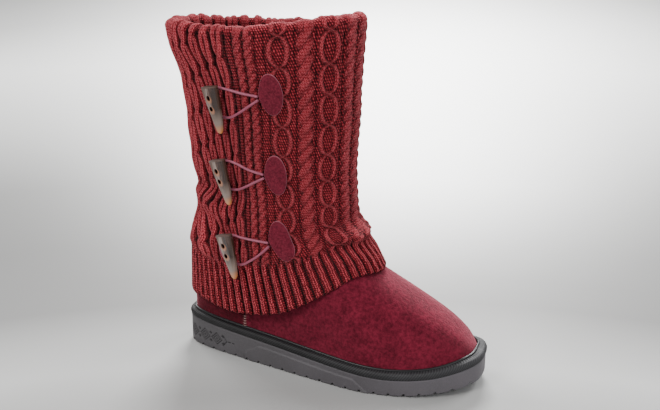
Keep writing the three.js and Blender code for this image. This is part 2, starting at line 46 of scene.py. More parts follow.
def look(name, eye, rise, around, roll, lens):
    """Camera at eye that looks around degrees left of +Y and rise degrees up, and is rolled about
    its own axis."""
    turned, raised = np.radians(around), np.radians(rise)
    way = Vector((-np.sin(turned) * np.cos(raised), np.cos(turned) * np.cos(raised), np.sin(raised)))
    data = bpy.data.cameras.new(name)
    data.lens, data.sensor_width = lens, SENSOR
    camera = bpy.data.objects.new(name, data)
    camera.location = eye
    camera.rotation_mode = "QUATERNION"
    camera.rotation_quaternion = way.to_track_quat("-Z", "Y") @ Quaternion((0, 0, 1), np.radians(roll))
    bpy.context.scene.collection.objects.link(camera)
    return camera


bpy.context.scene.camera = look(
    "camera", EYE, RISE, AROUND, ROLL, FOCAL_PIXELS / IMAGE_WIDTH * SENSOR
)

# Outsole
# A moulded unit sole of grey foam rubber, wedge-shaped, with cleats cut straight across the tread,
# nested lozenges in low relief round the heel and a low raised panel along each side.
SOLE_LONG = 284.0
# The frame's origin lies this far ahead of the heel's back, from which the lengths here are taken.
HEEL_BACK = 38.7
# Place from heel to toe, half width on the outer and on the inner side before the ends are rounded
# off, and how far in from the edge the suede stands.
OUTLINE = np.array(
    [
        [0, 36.4, 36.4, 5.2],
        [0.12, 37.3, 37.3, 5.2],
        [0.25, 38.2, 36.4, 5.2],
        [0.38, 41.7, 35.4, 5.2],
        [0.5, 49.2, 40.6, 5.2],
        [0.62, 58.3, 50, 5.2],
        [0.75, 59.4, 56, 5.6],
        [0.88, 53, 58, 6.8],
        [1, 44.5, 60, 7.8],
    ]
)
# Distance from the heel's back, height of the wall's top edge and of the band's.
WALL = np.array([[0, 27.2, 33.7], [99, 21.8, 28.6], [199, 15.3, 22.3], [245, 18, 24.9], [284, 26, 32.8]])
# The ends are rounded by a power of the sine, and the toe swings to the outer side.
HEEL_POWER, MORE_POWER, TOE_SWING = 0.6, 0.12, 1.6
TOE_SPRING = {"from": 0.68, "high": 8.7}
CLEAT = {"pitch": 12.9, "wide": 2.4, "deep": 2.6, "slope": 0.5}
TREAD_EDGE = {"high": 1.6, "round": 1.3}
TOP_EDGE = {"from": 0.965, "in": 0.5}
LOZENGE = {"apart": 14.8, "wide": 13.0, "high": 12.6, "count": 4, "middle": 0.49, "cut": 0.8}
# Lozenges of one nest by their size, and the width of a line, both as shares of the outer one.
NEST, LINE = (0.95, 0.55, 0.12), 0.1
SMALL_LOZENGE = {"half_long": 2.3, "half_high": 1.9, "up": 0.62}
CHEVRON = {"long": 6.0, "at": 0.75, "line": 0.13}
# Dashes after the last lozenge: distance from it and half length.
DASHES, DASH_HIGH = ((7.5, 1.6), (12.0, 1.1)), 0.6
PANEL = {"from": 84.0, "to": 214.0, "top": 5.0, "ramp": 16.0, "drop": 11.0, "raised": 0.9}


def through(at, places, values):
    """Smooth curve through a table: between two rows a cubic whose slope at each row is that of
    the line from the row before to the row after."""
    places, values = np.asarray(places, float), np.asarray(values, float)
    last = len(places) - 1
    before = np.maximum(np.arange(last + 1) - 1, 0)
    after = np.minimum(np.arange(last + 1) + 1, last)
    slopes = (values[after] - values[before]) / (places[after] - places[before])
    low = np.clip(np.searchsorted(places, at) - 1, 0, last - 1)
    span = places[low + 1] - places[low]
    part = np.clip((at - places[low]) / span, 0, 1)
    rise = values[low + 1] - values[low]
    bend = (slopes[low] * span - rise) * (1 - part) - (slopes[low + 1] * span - rise) * part
    return values[low] + rise * part + bend * part * (1 - part)


def outline(along, side, inset):
    """Plan of the sole's edge. x is half the length times 1 - cos, y is the half width times a
    power of the sine, and the point is moved in by inset along the edge's normal."""

    def raw(t):
        power = HEEL_POWER + MORE_POWER * np.minimum(1, 2 * t)
        width = through(t, OUTLINE[:, 0], OUTLINE[:, 1 if side < 0 else 2])
        x = SOLE_LONG / 2 * (1 - np.cos(np.pi * t))
        return np.stack([x, side * width * np.sin(np.pi * t) ** power - TOE_SWING * t**3], -1)

    step = np.minimum(0.004, 0.5 * np.minimum(along, 1 - along))
    run = raw(along + step) - raw(along - step)
    run /= np.linalg.norm(run, axis=-1, keepdims=True)
    inward = np.stack([run[..., 1], -run[..., 0]], -1) * side
    return raw(along) + inward * np.asarray(inset)[..., None]


def tread(x):
    """Floor line of the sole: flat to the ball of the foot, then a square rise to the toe."""
    start = TOE_SPRING["from"] * SOLE_LONG
    return TOE_SPRING["high"] * np.clip((x - start) / (SOLE_LONG - start), 0, 1) ** 2


def wall_top(x, column=1):
    """Height of the wall's top edge, or with column 2 of the band's, at a distance from the heel."""
    return through(x, WALL[:, 0], WALL[:, column])


def surface(name, grid, around=False, caps=False, flip=False, keep=None):
    """Mesh object from a grid of points in mm from the heel's back. Each row is joined to the next,
    around closes the rows into rings, caps closes the two ends, and a face stays only where keep
    holds at one of its corners."""
    rows, columns = grid.shape[:2]
    index = np.arange(rows * columns).reshape(rows, columns)
    if around:
        index = np.hstack([index, index[:, :1]])
    quads = np.stack([index[:-1, :-1], index[:-1, 1:], index[1:, 1:], index[1:, :-1]], -1)
    quads = quads.reshape(-1, 4)
    if keep is not None:
        quads = quads[keep.ravel()[quads].any(1)]
    faces = (quads[:, ::-1] if flip else quads).tolist()
    if caps:
        ends = [index[0, :columns][::-1], index[-1, :columns]]
        faces += [(end[::-1] if flip else end).tolist() for end in ends]
    places = (grid.reshape(-1, 3) - [HEEL_BACK, 0, 0]) / 1000
    mesh = bpy.data.meshes.new(name)
    mesh.from_pydata(places.tolist(), [], faces)
    mesh.shade_smooth()
    mesh.validate()
    made = bpy.data.objects.new(name, mesh)
    bpy.context.scene.collection.objects.link(made)
    return made


def keep_marks(mesh, marks):
    """Writes named values onto a mesh, one number or three for each point."""
    for key, values in marks.items():
        values = np.asarray(values, np.float32).ravel()
        three = len(values) == 3 * len(mesh.vertices)
        mark = mesh.attributes.new(key, "FLOAT_VECTOR" if three else "FLOAT", "POINT")
        mark.data.foreach_set("vector" if three else "value", values)


def skin(name, grid, slot, marks=None, normals=None, **closing):
    """Piece of the boot: a surface that rides on its body, with the values that its finish reads."""
    piece = surface(name, grid, **closing)
    keep_marks(piece.data, marks or {})
    if normals is not None:
        piece.data.normals_split_custom_set_from_vertices(normals.reshape(-1, 3).tolist())
    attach(piece, "root")
    return piece


def put(tree, kind, feeds=None, **settings):
    """Shader node of one kind. feeds are its inputs by name or number, as values or as sockets."""
    made = tree.nodes.new("ShaderNode" + kind)
    for key, value in settings.items():
        setattr(made, key, value)
    for key, value in (feeds or {}).items():
        if isinstance(value, bpy.types.NodeSocket):
            tree.links.new(value, made.inputs[key])
        else:
            made.inputs[key].default_value = value
    return made


def mix(tree, factor, first, second, **settings):
    """Blend of two colours, each a socket or red, green and blue."""
    ends = [end if isinstance(end, bpy.types.NodeSocket) else (*end, 1) for end in (first, second)]
    feeds = {"Factor": factor, 6: ends[0], 7: ends[1]}
    return put(tree, "Mix", feeds, data_type="RGBA", **settings).outputs[2]


def multiply(tree, first, second):
    """Product of two colours."""
    return mix(tree, 1.0, first, second, blend_type="MULTIPLY")


def carry(tree, value, low, high, to_low=0.0, to_high=1.0):
    """A value carried from the range low to high into another one, and held at its ends."""
    return put(tree, "MapRange", {"Value": value, 1: low, 2: high, 3: to_low, 4: to_high}).outputs[0]


def own_place(tree):
    """Place on the piece in metres, as its Object coordinates."""
    return put(tree, "TexCoord").outputs["Object"]


def own_axis(tree, axis):
    """One of the piece's own three coordinates in metres."""
    return put(tree, "SeparateXYZ", {0: own_place(tree)}).outputs[axis]


def mark_of(tree, name, kind="Fac"):
    """The value that the mesh keeps under a name."""
    return put(tree, "Attribute", attribute_name=name).outputs[kind]


def noise(tree, where, scale, detail, **more):
    """Cloudy noise at a place, finer with a larger scale."""
    return put(tree, "TexNoise", {"Vector": where, "Scale": scale, "Detail": detail, **more}).outputs[0]


def material(name, roughness, **fixed):
    """Material with a Principled shader whose fixed sockets are set, and its node tree."""
    made = bpy.data.materials.new(name)
    made.use_nodes = True
    shader = made.node_tree.nodes["Principled BSDF"]
    shader.inputs["Roughness"].default_value = roughness
    for key, value in fixed.items():
        shader.inputs[key.replace("_", " ")].default_value = value
    return made, made.node_tree, shader


def effect(name, inputs, outputs):
    """Empty shader node group with named inputs (name, kind, value) and outputs (name, kind)."""
    tree = bpy.data.node_groups.new(name, "ShaderNodeTree")
    for label, kind, value in inputs:
        socket = tree.interface.new_socket(label, in_out="INPUT", socket_type="NodeSocket" + kind)
        socket.default_value = value
    for label, kind in outputs:
        tree.interface.new_socket(label, in_out="OUTPUT", socket_type="NodeSocket" + kind)
    return tree, tree.nodes.new("NodeGroupInput").outputs, tree.nodes.new("NodeGroupOutput").inputs


# Clouded colour with fine grain, for rubber, suede and plush: large soft clouds between a deep and
# a light colour, broken up by a fine grain that also gives the height.
clouded, given, kept = effect(
    "clouded_grain",
    [
        ("Deep", "Color", (0, 0, 0, 1)),
        ("Light", "Color", (1, 1, 1, 1)),
        ("Cloud scale", "Float", 30.0),
        ("Grain scale", "Float", 900.0),
        ("Grain share", "Float", 0.4),
    ],
    [("Color", "Color"), ("Height", "Float")],
)
spot = own_place(clouded)
clouds = noise(clouded, spot, given["Cloud scale"], 3, Roughness=0.55)
grain = noise(clouded, spot, given["Grain scale"], 4, Roughness=0.7)
ends = {2: carry(clouded, clouds, 0.32, 0.68), 3: carry(clouded, grain, 0.34, 0.66)}
blend = put(clouded, "Mix", {"Factor": given["Grain share"], **ends}, data_type="FLOAT").outputs[0]
clouded.links.new(mix(clouded, blend, given["Deep"], given["Light"]), kept["Color"])
clouded.links.new(grain, kept["Height"])


def clouded_finish(tree, shader, deep, light, cloud, fine, share, bump, high):
    """Feeds the clouded grain into a material's colour and bump, and gives its colour. cloud and
    fine are the scales of clouds and grain, share is the grain's part, high its height in metres."""
    feeds = {"Deep": (*deep, 1), "Light": (*light, 1)}
    feeds |= {"Cloud scale": cloud, "Grain scale": fine, "Grain share": share}
    out = put(tree, "Group", feeds, node_tree=clouded).outputs
    tree.links.new(out["Color"], shader.inputs["Base Color"])
    lift = put(tree, "Bump", {"Strength": bump, "Distance": high, "Height": out["Height"]})
    tree.links.new(lift.outputs[0], shader.inputs["Normal"])
    return out["Color"]


def run_round(side, along):
    """Distance round the sole's edge from the middle of the heel, on one side."""
    edge = outline(along, side, 0 * along)
    steps = np.linalg.norm(np.diff(edge, axis=0), axis=1)
    return np.concatenate([[0], np.cumsum(steps)]) + abs(edge[0, 1])


def lozenges(run, height, top):
    """Share of the cut lines round the heel: nested lozenges side by side, small ones in the gaps
    above and below, and a chevron and two dashes after the last."""
    apart, wide, high = LOZENGE["apart"], LOZENGE["wide"] / 2, LOZENGE["high"] / 2
    up = np.abs(height - LOZENGE["middle"] * top)
    middle = (np.clip(np.floor(run / apart), 0, LOZENGE["count"] - 1) + 0.5) * apart
    size = np.abs(run - middle) / wide + up / high
    rings = sum(np.exp(-(((size - at) / LINE) ** 2)) for at in NEST)
    post = np.clip(np.round(run / apart), 0, LOZENGE["count"]) * apart
    beyond = np.abs(up - SMALL_LOZENGE["up"] * high)
    small = np.abs(run - post) / SMALL_LOZENGE["half_long"] + beyond / SMALL_LOZENGE["half_high"]
    last = apart * LOZENGE["count"]
    tip = (run - last) / CHEVRON["long"] + up / high - CHEVRON["at"]
    chevron = np.exp(-((tip / CHEVRON["line"]) ** 2)) * (run > last - 1) * (up < 0.9 * high)
    dashes = sum(np.abs(run - last - at) < half for at, half in DASHES) * (up < DASH_HIGH)
    return np.clip(rings + np.clip(2.2 - 2 * small, 0, 1) + chevron + dashes, 0, 1)


def raised_panel(run, height, top):
    """Height of the side panel: it climbs from the tread over a ramp and ends near the top edge."""
    start = np.clip((run - PANEL["from"]) / PANEL["ramp"], 0, 1)
    end = np.clip((PANEL["to"] - run) / PANEL["ramp"], 0, 1)
    edge = top - PANEL["top"] - (2 - start - end) * PANEL["drop"]
    return PANEL["raised"] / (1 + np.exp((height - edge) * 4)) * (start > 0) * (end > 0)


def sole_body(count, levels, across):
    """Rings across the foot, from the top by the outer wall, the tread and the inner wall back."""
    along = np.linspace(0.0007, 0.9993, count)
    walls = []
    for side in (-1, 1):
        run = run_round(side, along)[:, None]
        edge = outline(along, side, 0 * along)
        x = edge[:, :1]
        beyond = np.abs((x - HEEL_BACK + 2.5 * CLEAT["pitch"]) % CLEAT["pitch"])
        beyond = np.minimum(beyond, CLEAT["pitch"] - beyond)
        cut = CLEAT["deep"] * np.clip((CLEAT["wide"] / 2 - beyond) / CLEAT["slope"] + 0.5, 0, 1)
        bottom = tread(x) + cut
        top = wall_top(x)
        share = np.linspace(0, 1, levels)[None, :]
        height = bottom + (top - bottom) * share
        low = np.clip((height - tread(x)) / TREAD_EDGE["high"], 0, 1)
        round_in = TREAD_EDGE["round"] * (1 - np.sqrt(low * (2 - low)))
        round_in += TOP_EDGE["in"] * np.clip((share - TOP_EDGE["from"]) / (1 - TOP_EDGE["from"]), 0, 1)
        lines = lozenges(run, height, top)
        inset = round_in - raised_panel(run, height, top) + LOZENGE["cut"] * lines
        point = outline(np.repeat(along[:, None], levels, 1), side, inset)
        walls.append(np.concatenate([point, height[..., None], lines[..., None]], -1))
    outer, inner = walls
    share = np.linspace(0, 1, across + 2)[1:-1][None, :, None]
    under = outer[:, :1] * (1 - share) + inner[:, :1] * share
    over = inner[:, -1:] * (1 - share) + outer[:, -1:] * share
    return np.concatenate([outer[:, ::-1], under, inner, over], 1)


sole_grid = sole_body(700, 40, 4)
sole = skin(
    "outsole_body",
    sole_grid[..., :3],
    "sole",
    around=True,
    caps=True,
    flip=True,
    marks={"cut": sole_grid[..., 3]},
)
rubber, rubber_tree, rubber_shader = material("sole_rubber", 0.62, Specular_IOR_Level=0.35)
foam = clouded_finish(
    rubber_tree,
    rubber_shader,
    deep=(0.045, 0.042, 0.045),
    light=(0.084, 0.078, 0.084),
    cloud=14,
    fine=1100,
    share=0.45,
    bump=0.35,
    high=0.0004,
)
# The wall is painted paler towards the toe as painted light, and the cut lines are painted dark as painted
# shade in the engraving.
toe_part = carry(rubber_tree, own_axis(rubber_tree, 0), 0.05, 0.21)
sole_toe_painted_light = mix(rubber_tree, toe_part, (0.9, 0.9, 0.9), (1.22, 1.2, 1.24))
sole_with_toe_light = multiply(rubber_tree, foam, sole_toe_painted_light)
# Painted shade in the cut lines.
sole_with_shaded_lines = mix(rubber_tree, mark_of(rubber_tree, "cut"), sole_with_toe_light, (0.016, 0.015, 0.016))
rubber_tree.links.new(sole_with_shaded_lines, rubber_shader.inputs["Base Color"])
sole.data.materials.append(rubber)
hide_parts("outsole")

# Rand and welt line
# A charcoal rubber band glued round the foot on the sole's wall. Its face has fine slanted ribs,
# its top edge slopes in to the suede, and a black bead closes the joint.
RIB_PITCH, RIB_SLANT, RIB_DEEP = 2.5, 0.85, 0.5
# Its top shelf still rises a little, and the band starts this far over the wall and off the suede.
SHELF_RISE, BAND_UP, BAND_OFF = 0.1, 0.15, 0.3
BEAD = {"radius": 1.15, "out": 0.55, "up": 0.55}
# Share of the way across the face, how far in it lies and share of its height.
BAND = np.array(
    [
        [0.0, 1.2, 0.0],
        [0.06, -0.1, 0.02],
        [0.3, -0.85, 0.35],
        [0.55, -0.75, 0.66],
        [0.72, 0.15, 0.88],
        [0.8, 1.2, 0.98],
    ]
)


def rand_ring(count, levels):
    """Closed band round the foot. Across it the profile bulges out, turns in over its top edge and
    runs level to the suede; the ribs are waves that slant with the height."""
    half = np.linspace(0.0007, 0.9993, count)
    sides = []
    for side in (-1, 1):
        along = half if side < 0 else half[::-1]
        run = run_round(side, half)
        run = (run if side < 0 else run[::-1])[:, None]
        grid = np.repeat(along[:, None], levels, 1)
        part = np.linspace(0, 1, levels)[None, :]
        x = outline(along, side, 0 * along)[:, :1]
        base, top = wall_top(x) + BAND_UP, wall_top(x, 2)
        face = through(part, BAND[:, 0], BAND[:, 1])
        rise = through(part, BAND[:, 0], BAND[:, 2])
        welt = through(along, OUTLINE[:, 0], OUTLINE[:, 3])[:, None] - BAND_OFF
        face_end, last_inset, last_rise = BAND[-1]
        shelf = np.clip((part - face_end) / (1 - face_end), 0, 1)
        inset = np.where(shelf > 0, last_inset + (welt - last_inset) * shelf, face)
        height = base + (top - base) * np.where(shelf > 0, last_rise + SHELF_RISE * shelf, rise)
        crest = 0.5 + 0.5 * np.sin(2 * np.pi * (run - RIB_SLANT * (height - base)) / RIB_PITCH)
        inset = inset + RIB_DEEP * (1 - crest) * np.clip(part / 0.08, 0, 1) * (shelf <= 0)
        height = height - RIB_DEEP * (1 - crest) * (shelf > 0) * (1 - shelf**4)
        point = outline(grid, side, inset)
        sides.append(np.concatenate([point, height[..., None], crest[..., None] + 0 * inset[..., None]], -1))
    return np.concatenate(sides, 0)


band_grid = rand_ring(1000, 16).transpose(1, 0, 2)
rand = skin(
    "rand_band", band_grid[..., :3], "rand", around=True, flip=True, marks={"crest": band_grid[..., 3]}
)
charcoal, charcoal_tree, charcoal_shader = material("rand_rubber", 0.62, Specular_IOR_Level=0.3)
dusty = clouded_finish(
    charcoal_tree,
    charcoal_shader,
    deep=(0.018, 0.018, 0.019),
    light=(0.058, 0.057, 0.06),
    cloud=25,
    fine=1500,
    share=0.4,
    bump=0.3,
    high=0.0003,
)
# The grooves are painted dark as painted shade, and the band is painted paler towards the toe as painted
# light.
ribbed = mix(charcoal_tree, mark_of(charcoal_tree, "crest"), (0.005, 0.005, 0.006), dusty)
toe_part = carry(charcoal_tree, own_axis(charcoal_tree, 0), 0.09, 0.22)
band_toe_painted_light = mix(charcoal_tree, toe_part, (0.5, 0.5, 0.5), (1.3, 1.3, 1.32))
band_shade_and_toe_light = multiply(charcoal_tree, ribbed, band_toe_painted_light)
charcoal_tree.links.new(band_shade_and_toe_light, charcoal_shader.inputs["Base Color"])
rand.data.materials.append(charcoal)
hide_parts("rand")


def bead_ring(count, around, radius):
    """Round bead along the suede's foot: a circle carried round the welt line."""
    half = np.linspace(0.0012, 0.9988, count)
    turn = np.linspace(0, 2 * np.pi, around, endpoint=False)[None, :]
    sides = []
    for side in (-1, 1):
        along = half if side < 0 else half[::-1]
        x = outline(along, side, 0 * along)[:, :1]
        welt = through(along, OUTLINE[:, 0], OUTLINE[:, 3])[:, None]
        inset = welt - BEAD["out"] + radius * np.cos(turn)
        height = wall_top(x, 2) + BEAD["up"] + radius * np.sin(turn)
        point = outline(np.repeat(along[:, None], around, 1), side, inset)
        sides.append(np.concatenate([point, height[..., None]], -1))
    return np.concatenate(sides, 0)


bead = bead_ring(220, 10, BEAD["radius"])
bead = np.concatenate([bead, bead[:1]], 0)
welt_line = skin("welt_line", bead.transpose(1, 0, 2)[::-1], "rand")
black, black_tree, black_shader = material("welt_black", 0.4, Specular_IOR_Level=0.4)
clouded_finish(
    black_tree,
    black_shader,
    deep=(0.004, 0.004, 0.005),
    light=(0.012, 0.012, 0.013),
    cloud=40,
    fine=1500,
    share=0.4,
    bump=0.2,
    high=0.0002,
)
welt_line.data.materials.append(black)

# Suede foot
# Quarter and vamp of wine-red suede with the nap brushed forward, joined by a raised seam on each
# side. The leather is drawn over the foot in one full curve with a few soft pulls.

# Distance from the heel's back, height of the top line, and how square the section is, less being
# squarer.
FOOT = np.array(
    [
        [5, 66, 0.5],
        [25, 88, 0.5],
        [50, 108, 0.55],
        [80, 124, 0.6],
        [110, 130, 0.66],
        [138, 121, 0.72],
        [160, 110, 0.76],
        [188, 94.5, 0.8],
        [212, 81, 0.8],
        [243, 63, 0.8],
        [256, 54, 0.8],
        [266, 45.5, 0.8],
        [272, 37.4, 0.8],
        [276, 32.2, 0.8],
    ]
)
# Height of a section of the shaft, its back, its front and its half width.
SHAFT = np.array(
    [
        [62, 15, 146, 26],
        [86, 9, 156, 40],
        [115, 12, 158, 44.5],
        [145, 18, 156.5, 45.2],
        [170, 16.6, 156.3, 45.3],
        [200, 11.6, 156.2, 46.3],
        [230, 8.8, 158.8, 48.4],
        [262, 4.8, 160.4, 50.6],
        [280, -1, 161, 52],
        [318, -6, 162.8, 53.2],
    ]
)
# Soft troughs and ridges in the leather: x, height, length, width, slant and depth in mm.
PULLS = [
    (196, 34, 34, 5.5, 0.35, -0.7),
    (150, 44, 26, 5, -0.5, -0.6),
    (226, 58, 26, 6, -0.45, -0.5),
    (176, 66, 30, 7, -0.6, 0.5),
    (112, 38, 20, 4, 0.3, -0.5),
    (244, 34, 16, 4, 0.25, -0.45),
    (210, 46, 40, 9, -0.3, 0.4),
]
# The pulls fade out near the sole.
CALM = {"below": 26.0, "over": 8.0}
SEAM = {"x": 66.5, "lean": 0.04, "from": 30.0, "proud": 1.0, "edge": 1.25}
SEAM_GROOVE = {"x": 69.4, "half": 1.1, "deep": 0.9}


def arch(along, over, grow):
    """Foot surface: across each section a squared arch from the outer edge over the top to the
    inner edge; grow moves it all out."""
    welt = through(along, OUTLINE[:, 0], OUTLINE[:, 3])
    outer = outline(along, -1, welt - grow)
    inner = outline(along, 1, welt - grow)
    x = (outer[..., 0] + inner[..., 0]) / 2
    base = wall_top(x) + 0.3
    top = through(x, FOOT[:, 0], FOOT[:, 1]) + grow
    square = through(x, FOOT[:, 0], FOOT[:, 2])
    angle = np.pi * over
    cosine = np.cos(angle)
    across = (1 - np.sign(cosine) * np.abs(cosine) ** square) / 2
    plan = outer * (1 - across[..., None]) + inner * across[..., None]
    height = base + (top - base) * np.sin(angle) ** square
    return np.concatenate([plan, height[..., None]], -1)


def leather(along, over):
    """The arch with the pulls of the leather and the raised seam added to it."""
    flat = arch(along, over, 0 * along)
    x, height = flat[..., 0], flat[..., 2]
    lift = np.zeros_like(x)
    for at, up, long, wide, slant, deep in PULLS:
        forward = (x - at) + (height - up) * slant
        offset = (height - up) - (x - at) * slant
        lift += deep * np.exp(-((forward / long) ** 2) - (offset / wide) ** 2)
    lift *= np.clip((height - CALM["below"]) / CALM["over"], 0, 1)
    beside = np.abs(x - SEAM["x"] - (height - SEAM["from"]) * SEAM["lean"])
    seam = np.clip(1.35 - beside / SEAM["edge"], 0, 1)
    groove = np.exp(-(((x - SEAM_GROOVE["x"]) / SEAM_GROOVE["half"]) ** 2))
    lift += SEAM["proud"] * np.sqrt(seam) - SEAM_GROOVE["deep"] * groove
    return arch(along, over, lift), seam


def foot_height(x, y, grow):
    """Height of the foot's surface over a place in plan."""
    along = np.linspace(0.004, 0.996, 400)
    welt = through(along, OUTLINE[:, 0], OUTLINE[:, 3])
    edges = [outline(along, side, welt - grow) for side in (-1, 1)]
    middle = (edges[0] + edges[1]) / 2
    low, high = (np.interp(x, middle[:, 0], edge[:, 1]) for edge in edges)
    base = wall_top(x)
    top = through(x, FOOT[:, 0], FOOT[:, 1]) + grow
    square = through(x, FOOT[:, 0], FOOT[:, 2])
    across = np.clip(np.abs(2 * y - low - high) / (high - low), 0, 1)
    return base + (top - base) * np.maximum(0, 1 - across ** (2 / square)) ** (square / 2)


def in_shaft(points, grow):
    """Whether points lie inside the shaft's ellipses, moved out by grow."""
    x, y, z = np.moveaxis(points, -1, 0)
    back, front, half = (through(z, SHAFT[:, 0], SHAFT[:, i]) for i in (1, 2, 3))
    long = (front - back) / 2 + grow
    return (((x - (back + front) / 2) / long) ** 2 + (y / (half + grow)) ** 2 < 1) & (z > SHAFT[0, 0])


def sums(tree, operation, *values):
    """Result of one Math node on the given values."""
    return put(tree, "Math", dict(enumerate(values)), operation=operation).outputs[0]


foot_along = 0.5 - 0.5 * np.cos(np.pi * np.linspace(0.012, 0.988, 330))
# The rows over the foot lie closer near the sole, where the arch turns in.
even = np.linspace(0, 1, 121)
foot_over = np.clip(0.5 - 0.5 * np.sign(0.5 - even) * np.abs(1 - 2 * even) ** 0.8, 0, 1)
foot_grid, seam_mark = leather(*np.meshgrid(foot_along, foot_over, indexing="ij"))
foot = skin(
    "suede_foot",
    foot_grid,
    "suede",
    flip=True,
    marks={"seam": seam_mark},
    keep=~in_shaft(foot_grid, -3),
)
suede, suede_tree, suede_shader = material(
    "wine_suede",
    0.92,
    Sheen_Weight=0.5,
    Sheen_Roughness=0.4,
    Sheen_Tint=(0.9, 0.3, 0.36, 1),
    Specular_IOR_Level=0.12,
)
nap = clouded_finish(
    suede_tree,
    suede_shader,
    deep=(0.045, 0.0016, 0.0065),
    light=(0.165, 0.0115, 0.0285),
    cloud=60,
    fine=330,
    share=0.7,
    bump=0.7,
    high=0.001,
)
# The heel quarter is painted darker as painted shade, and pale stitches lie in the dark of each seam.
vamp_part = carry(suede_tree, own_axis(suede_tree, 0), 0.0275, 0.029)
nap_with_shaded_quarter = multiply(suede_tree, nap, mix(suede_tree, vamp_part, (0.5, 0.3, 0.4), (1, 1, 1)))
stitch_beat = sums(suede_tree, "SINE", sums(suede_tree, "MULTIPLY", own_axis(suede_tree, 2), 2600.0))
thread_part = carry(suede_tree, stitch_beat, -0.3, 0.5)
thread = mix(suede_tree, thread_part, (0.012, 0.004, 0.005), (0.36, 0.22, 0.2))
seamed = mix(suede_tree, mark_of(suede_tree, "seam"), nap_with_shaded_quarter, thread)
suede_tree.links.new(seamed, suede_shader.inputs["Base Color"])
foot.data.materials.append(suede)
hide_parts("upper")

# Lining of shaft and foot
# Short plush of a dull plum colour, glued inside the shaft and the foot. It shows in the opening.
LINING_IN, FOOT_LINING_IN = 3.2, 3.4
PILE = {"from": 64, "to": 300, "round_scale": 60, "deep": 0.5}


def plush_tufts(u, v):
    """Uneven soft tufts of the pile, as a sum of slanted waves of unlike lengths."""
    return 0.35 * (np.sin(1.9 * u + 0.6 * v) + np.sin(1.1 * v - 1.4 * u) + np.sin(2.6 * v + 0.3 * u))


def shaft_lining(count, around):
    """Ellipses up the shaft, taken in by the lining's thickness."""
    height = np.linspace(PILE["from"], PILE["to"], count)[:, None]
    turn = np.linspace(0, 2 * np.pi, around, endpoint=False)[None, :]
    back, front, half = (through(height, SHAFT[:, 0], SHAFT[:, i]) for i in (1, 2, 3))
    in_by = LINING_IN + PILE["deep"] * plush_tufts(turn * PILE["round_scale"], height)
    x = (back + front) / 2 + ((front - back) / 2 - in_by) * np.cos(turn)
    y = (half - in_by) * np.sin(turn)
    return np.stack([x, y, height + 0 * turn], -1)


pile, pile_tree, pile_shader = material(
    "plush_lining",
    1.0,
    Sheen_Weight=0.6,
    Sheen_Roughness=0.5,
    Sheen_Tint=(1.0, 0.6, 0.7, 1),
    Specular_IOR_Level=0.1,
)
clouded_finish(
    pile_tree,
    pile_shader,
    deep=(0.05, 0.0075, 0.021),
    light=(0.13, 0.027, 0.053),
    cloud=160,
    fine=900,
    share=0.5,
    bump=0.8,
    high=0.0012,
)
tube_grid = shaft_lining(80, 170)
inside_shaft = skin(
    "shaft_pile",
    tube_grid,
    "lining",
    around=True,
    flip=True,
    keep=tube_grid[..., 2] > foot_height(tube_grid[..., 0], tube_grid[..., 1], -FOOT_LINING_IN),
)
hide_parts("shaft")
room_grid = arch(*np.meshgrid(foot_along[2:-2:3], foot_over[::3], indexing="ij"), -FOOT_LINING_IN)
inside_foot = skin("foot_pile", room_grid, "lining", keep=~in_shaft(room_grid, -LINING_IN))
for piece in (inside_shaft, inside_foot):
    piece.data.materials.append(pile)
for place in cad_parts["insole"].material_slots:
    place.material = pile

# Knit sleeve
# One tube knitted in thick marled wool: eye cables, rope cables and moss stitch between deep
# gutters, a long ribbed hem that flares over the instep, and a top that rolls over the collar.

# Heights of a section at the back and at the front, its back, its front, its half width, how far it
# stands to the inner side, and how far it climbs as the hem does, in place of a plain tilt.
SLEEVE = np.array(
    [
        [297, 310, -9.8, 167, 57.8, 0, 0],
        [284, 294, -7.6, 165.8, 57.3, 0, 0],
        [270.5, 278, -1, 164.4, 56.3, 0, 0],
        [257.4, 263, 2.6, 163.6, 55.2, 0, 0],
        [244, 248, 4.6, 162.7, 54.2, 0, 0],
        [230.5, 234, 5.6, 162.8, 53.2, 0, 0],
        [217, 220.5, 6.4, 162, 52.2, 0, 0],
        [204, 207, 7.4, 160.9, 51.4, 0, 0],
        [191, 194, 9, 160.3, 50.8, 0, 0],
        [178.5, 182, 11, 159.8, 50.4, 0, 0.1],
        [166, 170, 13, 160.4, 50.2, 0, 0.2],
        [153, 158, 14.4, 161, 50.2, -0.3, 0.35],
        [140, 147, 14, 162.4, 50.6, -0.6, 0.5],
        [126, 137, 11, 166, 51.6, -1, 0.7],
        [112, 128.5, 7, 173.6, 52.2, -1.4, 0.85],
        [98, 121.5, 5, 174.4, 51.4, -1.8, 1],
        [75, 110, 4, 182.6, 50, -2.4, 1],
        [53, 96.5, 3, 191, 48.4, -3, 1],
    ]
)
# Degrees from the front, below zero on the outer side, and height of the collar's crest.
COLLAR = np.array(
    [
        [-180, 306],
        [-132, 307.5],
        [-100, 308.5],
        [-67, 313.5],
        [-48, 317],
        [-25, 318.5],
        [0, 318],
        [30, 313.5],
        [60, 305.5],
        [86, 301.5],
        [120, 301.5],
        [150, 303.5],
        [180, 306],
    ]
)
# Degrees from the front, and share of the climb from the back to the front of the hem.
HEM_RISE = np.array(
    [[0, 1], [34, 1], [50, 0.76], [65, 0.47], [80, 0.19], [95, 0.06], [112, 0], [140, 0.06], [180, 0]]
)
# Rows of that table at the hem, at the top of the ribs and where the collar's own line fades out.
HEM_ROW, BAND_ROW, SWELL_ROWS = 17.0, 15.0, 5.0
CREST_OVER = 4.2
# The top bends in by twice out and rises by up, over a share of its length, and then goes down.
ROLL = {"out": 5.6, "up": 5.4, "long": 32.0, "over": 0.62, "down": 15.0}


